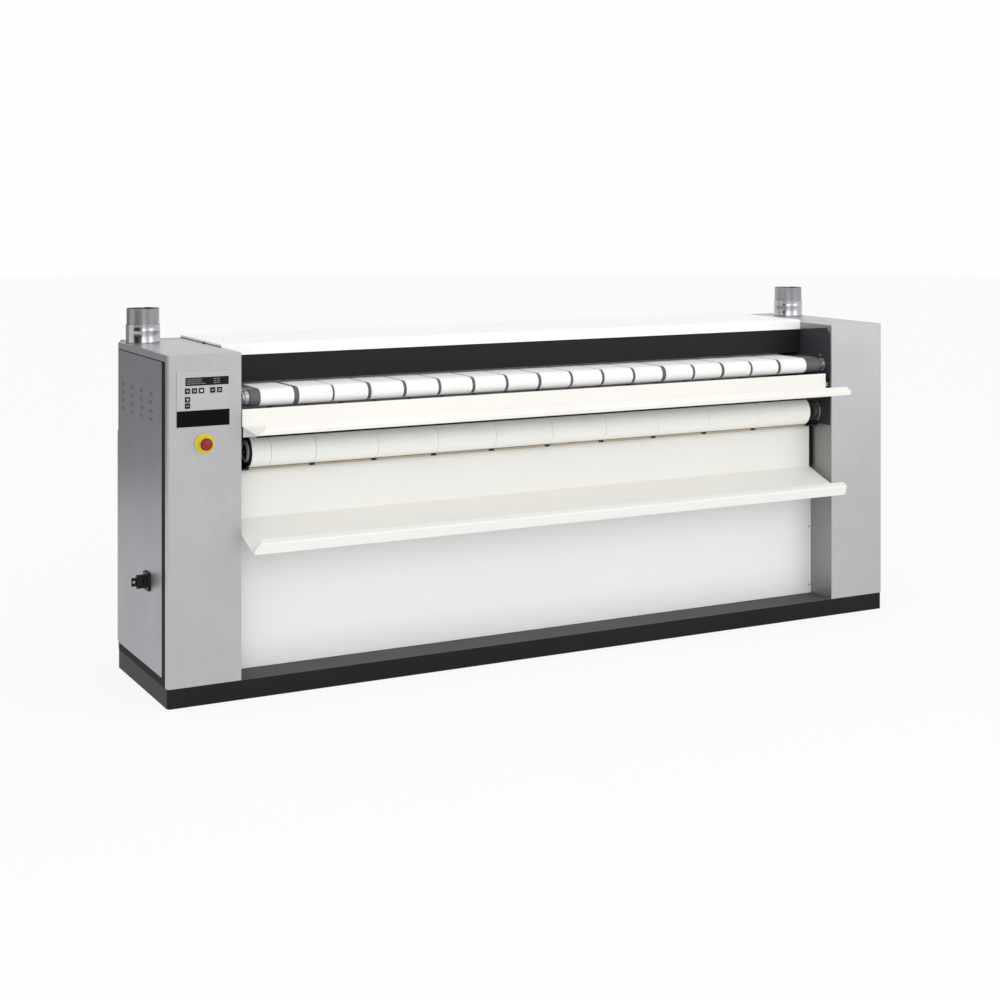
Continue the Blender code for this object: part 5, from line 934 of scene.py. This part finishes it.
floorLook = {"size": 60.0, "sides": 64, "colour": "#E6E6E6", "glow": 0.86}
bm = bmesh.new()
bmesh.ops.create_circle(bm, cap_ends=True, segments=floorLook["sides"], radius=floorLook["size"] / 2)
floor = newObject("pale_floor", meshFrom("pale_floor", bm))
paint, tree = emptyFinish("pale_floor_paint")
matt = addNode(tree, "BsdfDiffuse", {"Color": toLinear(floorLook["colour"])})
glow = addNode(tree, "Emission", {"Color": (1, 1, 1, 1), "Strength": 1.0})
share = addNode(tree, "Math", {"operation": "MULTIPLY", 1: floorLook["glow"]}, {0: seenRays(tree)})
blend = addNode(tree, "MixShader", {}, {0: share.outputs[0], 1: matt.outputs[0], 2: glow.outputs[0]})
addNode(tree, "OutputMaterial", {}, {"Surface": blend.outputs[0]})
floor.data.materials.append(paint)

studio = {"soft": 0.88, "white": 0.99}
world = bpy.data.worlds.new("white_studio")
bpy.context.scene.world = world
world.use_nodes = True
tree = world.node_tree
tree.nodes.clear()
soft, white = [addNode(tree, "Background", {"Color": (1, 1, 1, 1), "Strength": studio[key]})
               for key in ("soft", "white")]
blend = addNode(tree, "MixShader", {}, {0: seenRays(tree), 1: soft.outputs[0], 2: white.outputs[0]})
addNode(tree, "OutputWorld", {}, {"Surface": blend.outputs[0]})

lamps = {"key": {"place": (-3.5, -7.0, 3.4), "aim": (0.0, 0, 0.6), "wide": 4.0, "tall": 4.0, "power": 128},
         "fill": {"place": (4.5, -6.5, 2.8), "aim": (0.2, 0, 0.6), "wide": 4.0, "tall": 4.0, "power": 75},
         "overhead": {"place": (0.0, -3.2, 3.6), "aim": (0.0, -0.3, 0.57), "wide": 5.0, "tall": 0.8,
                      "power": 17}}
for lampName, lamp in lamps.items():
    light = bpy.data.lights.new(lampName, "AREA")
    light.shape = "RECTANGLE"
    light.size = lamp["wide"]
    light.size_y = lamp["tall"]
    light.energy = lamp["power"]
    lampObject = newObject(lampName, light)
    lampObject.location = lamp["place"]
    aim = Vector(lamp["aim"]) - Vector(lamp["place"])
    lampObject.rotation_euler = aim.to_track_quat("-Z", "Y").to_euler()

# cards seen only in reflections, as steel is lit in a studio: a grey one behind the left end for
# the door, a black flag at the front left for the flues
cards = {"door_card": {"ends": ((-4.6, 2.2), (-1.4, 2.2)), "low": 0.3, "tall": 3.1, "shade": "#A0A0A2"},
         "flue_flag": {"ends": ((-2.55, -2.75), (-4.4, -0.3)), "low": 0.6, "tall": 2.4, "shade": "#141415"}}
for cardName, card in cards.items():
    first, last = (Vector((*end, card["low"] + card["tall"] / 2)) for end in card["ends"])
    across = last - first
    bm = bmesh.new()
    bmesh.ops.create_grid(bm, x_segments=1, y_segments=1, size=0.5)
    bmesh.ops.scale(bm, vec=(across.length, card["tall"], 1), verts=bm.verts)
    for angle, axis in ((math.radians(90), "X"), (math.atan2(across.y, across.x), "Z")):
        bmesh.ops.rotate(bm, cent=(0, 0, 0), matrix=Matrix.Rotation(angle, 3, axis), verts=bm.verts)
    bmesh.ops.translate(bm, vec=(first + last) / 2, verts=bm.verts)
    cloth, tree = emptyFinish(cardName + "_cloth")
    shine = addNode(tree, "Emission", {"Color": toLinear(card["shade"]), "Strength": 1.0})
    addNode(tree, "OutputMaterial", {}, {"Surface": shine.outputs[0]})
    cardObject = newObject(cardName, meshFrom(cardName, bm))
    cardObject.data.materials.append(cloth)
    for kind in ("camera", "diffuse", "shadow", "transmission"):
        setattr(cardObject, "visible_" + kind, False)
print("stage done")
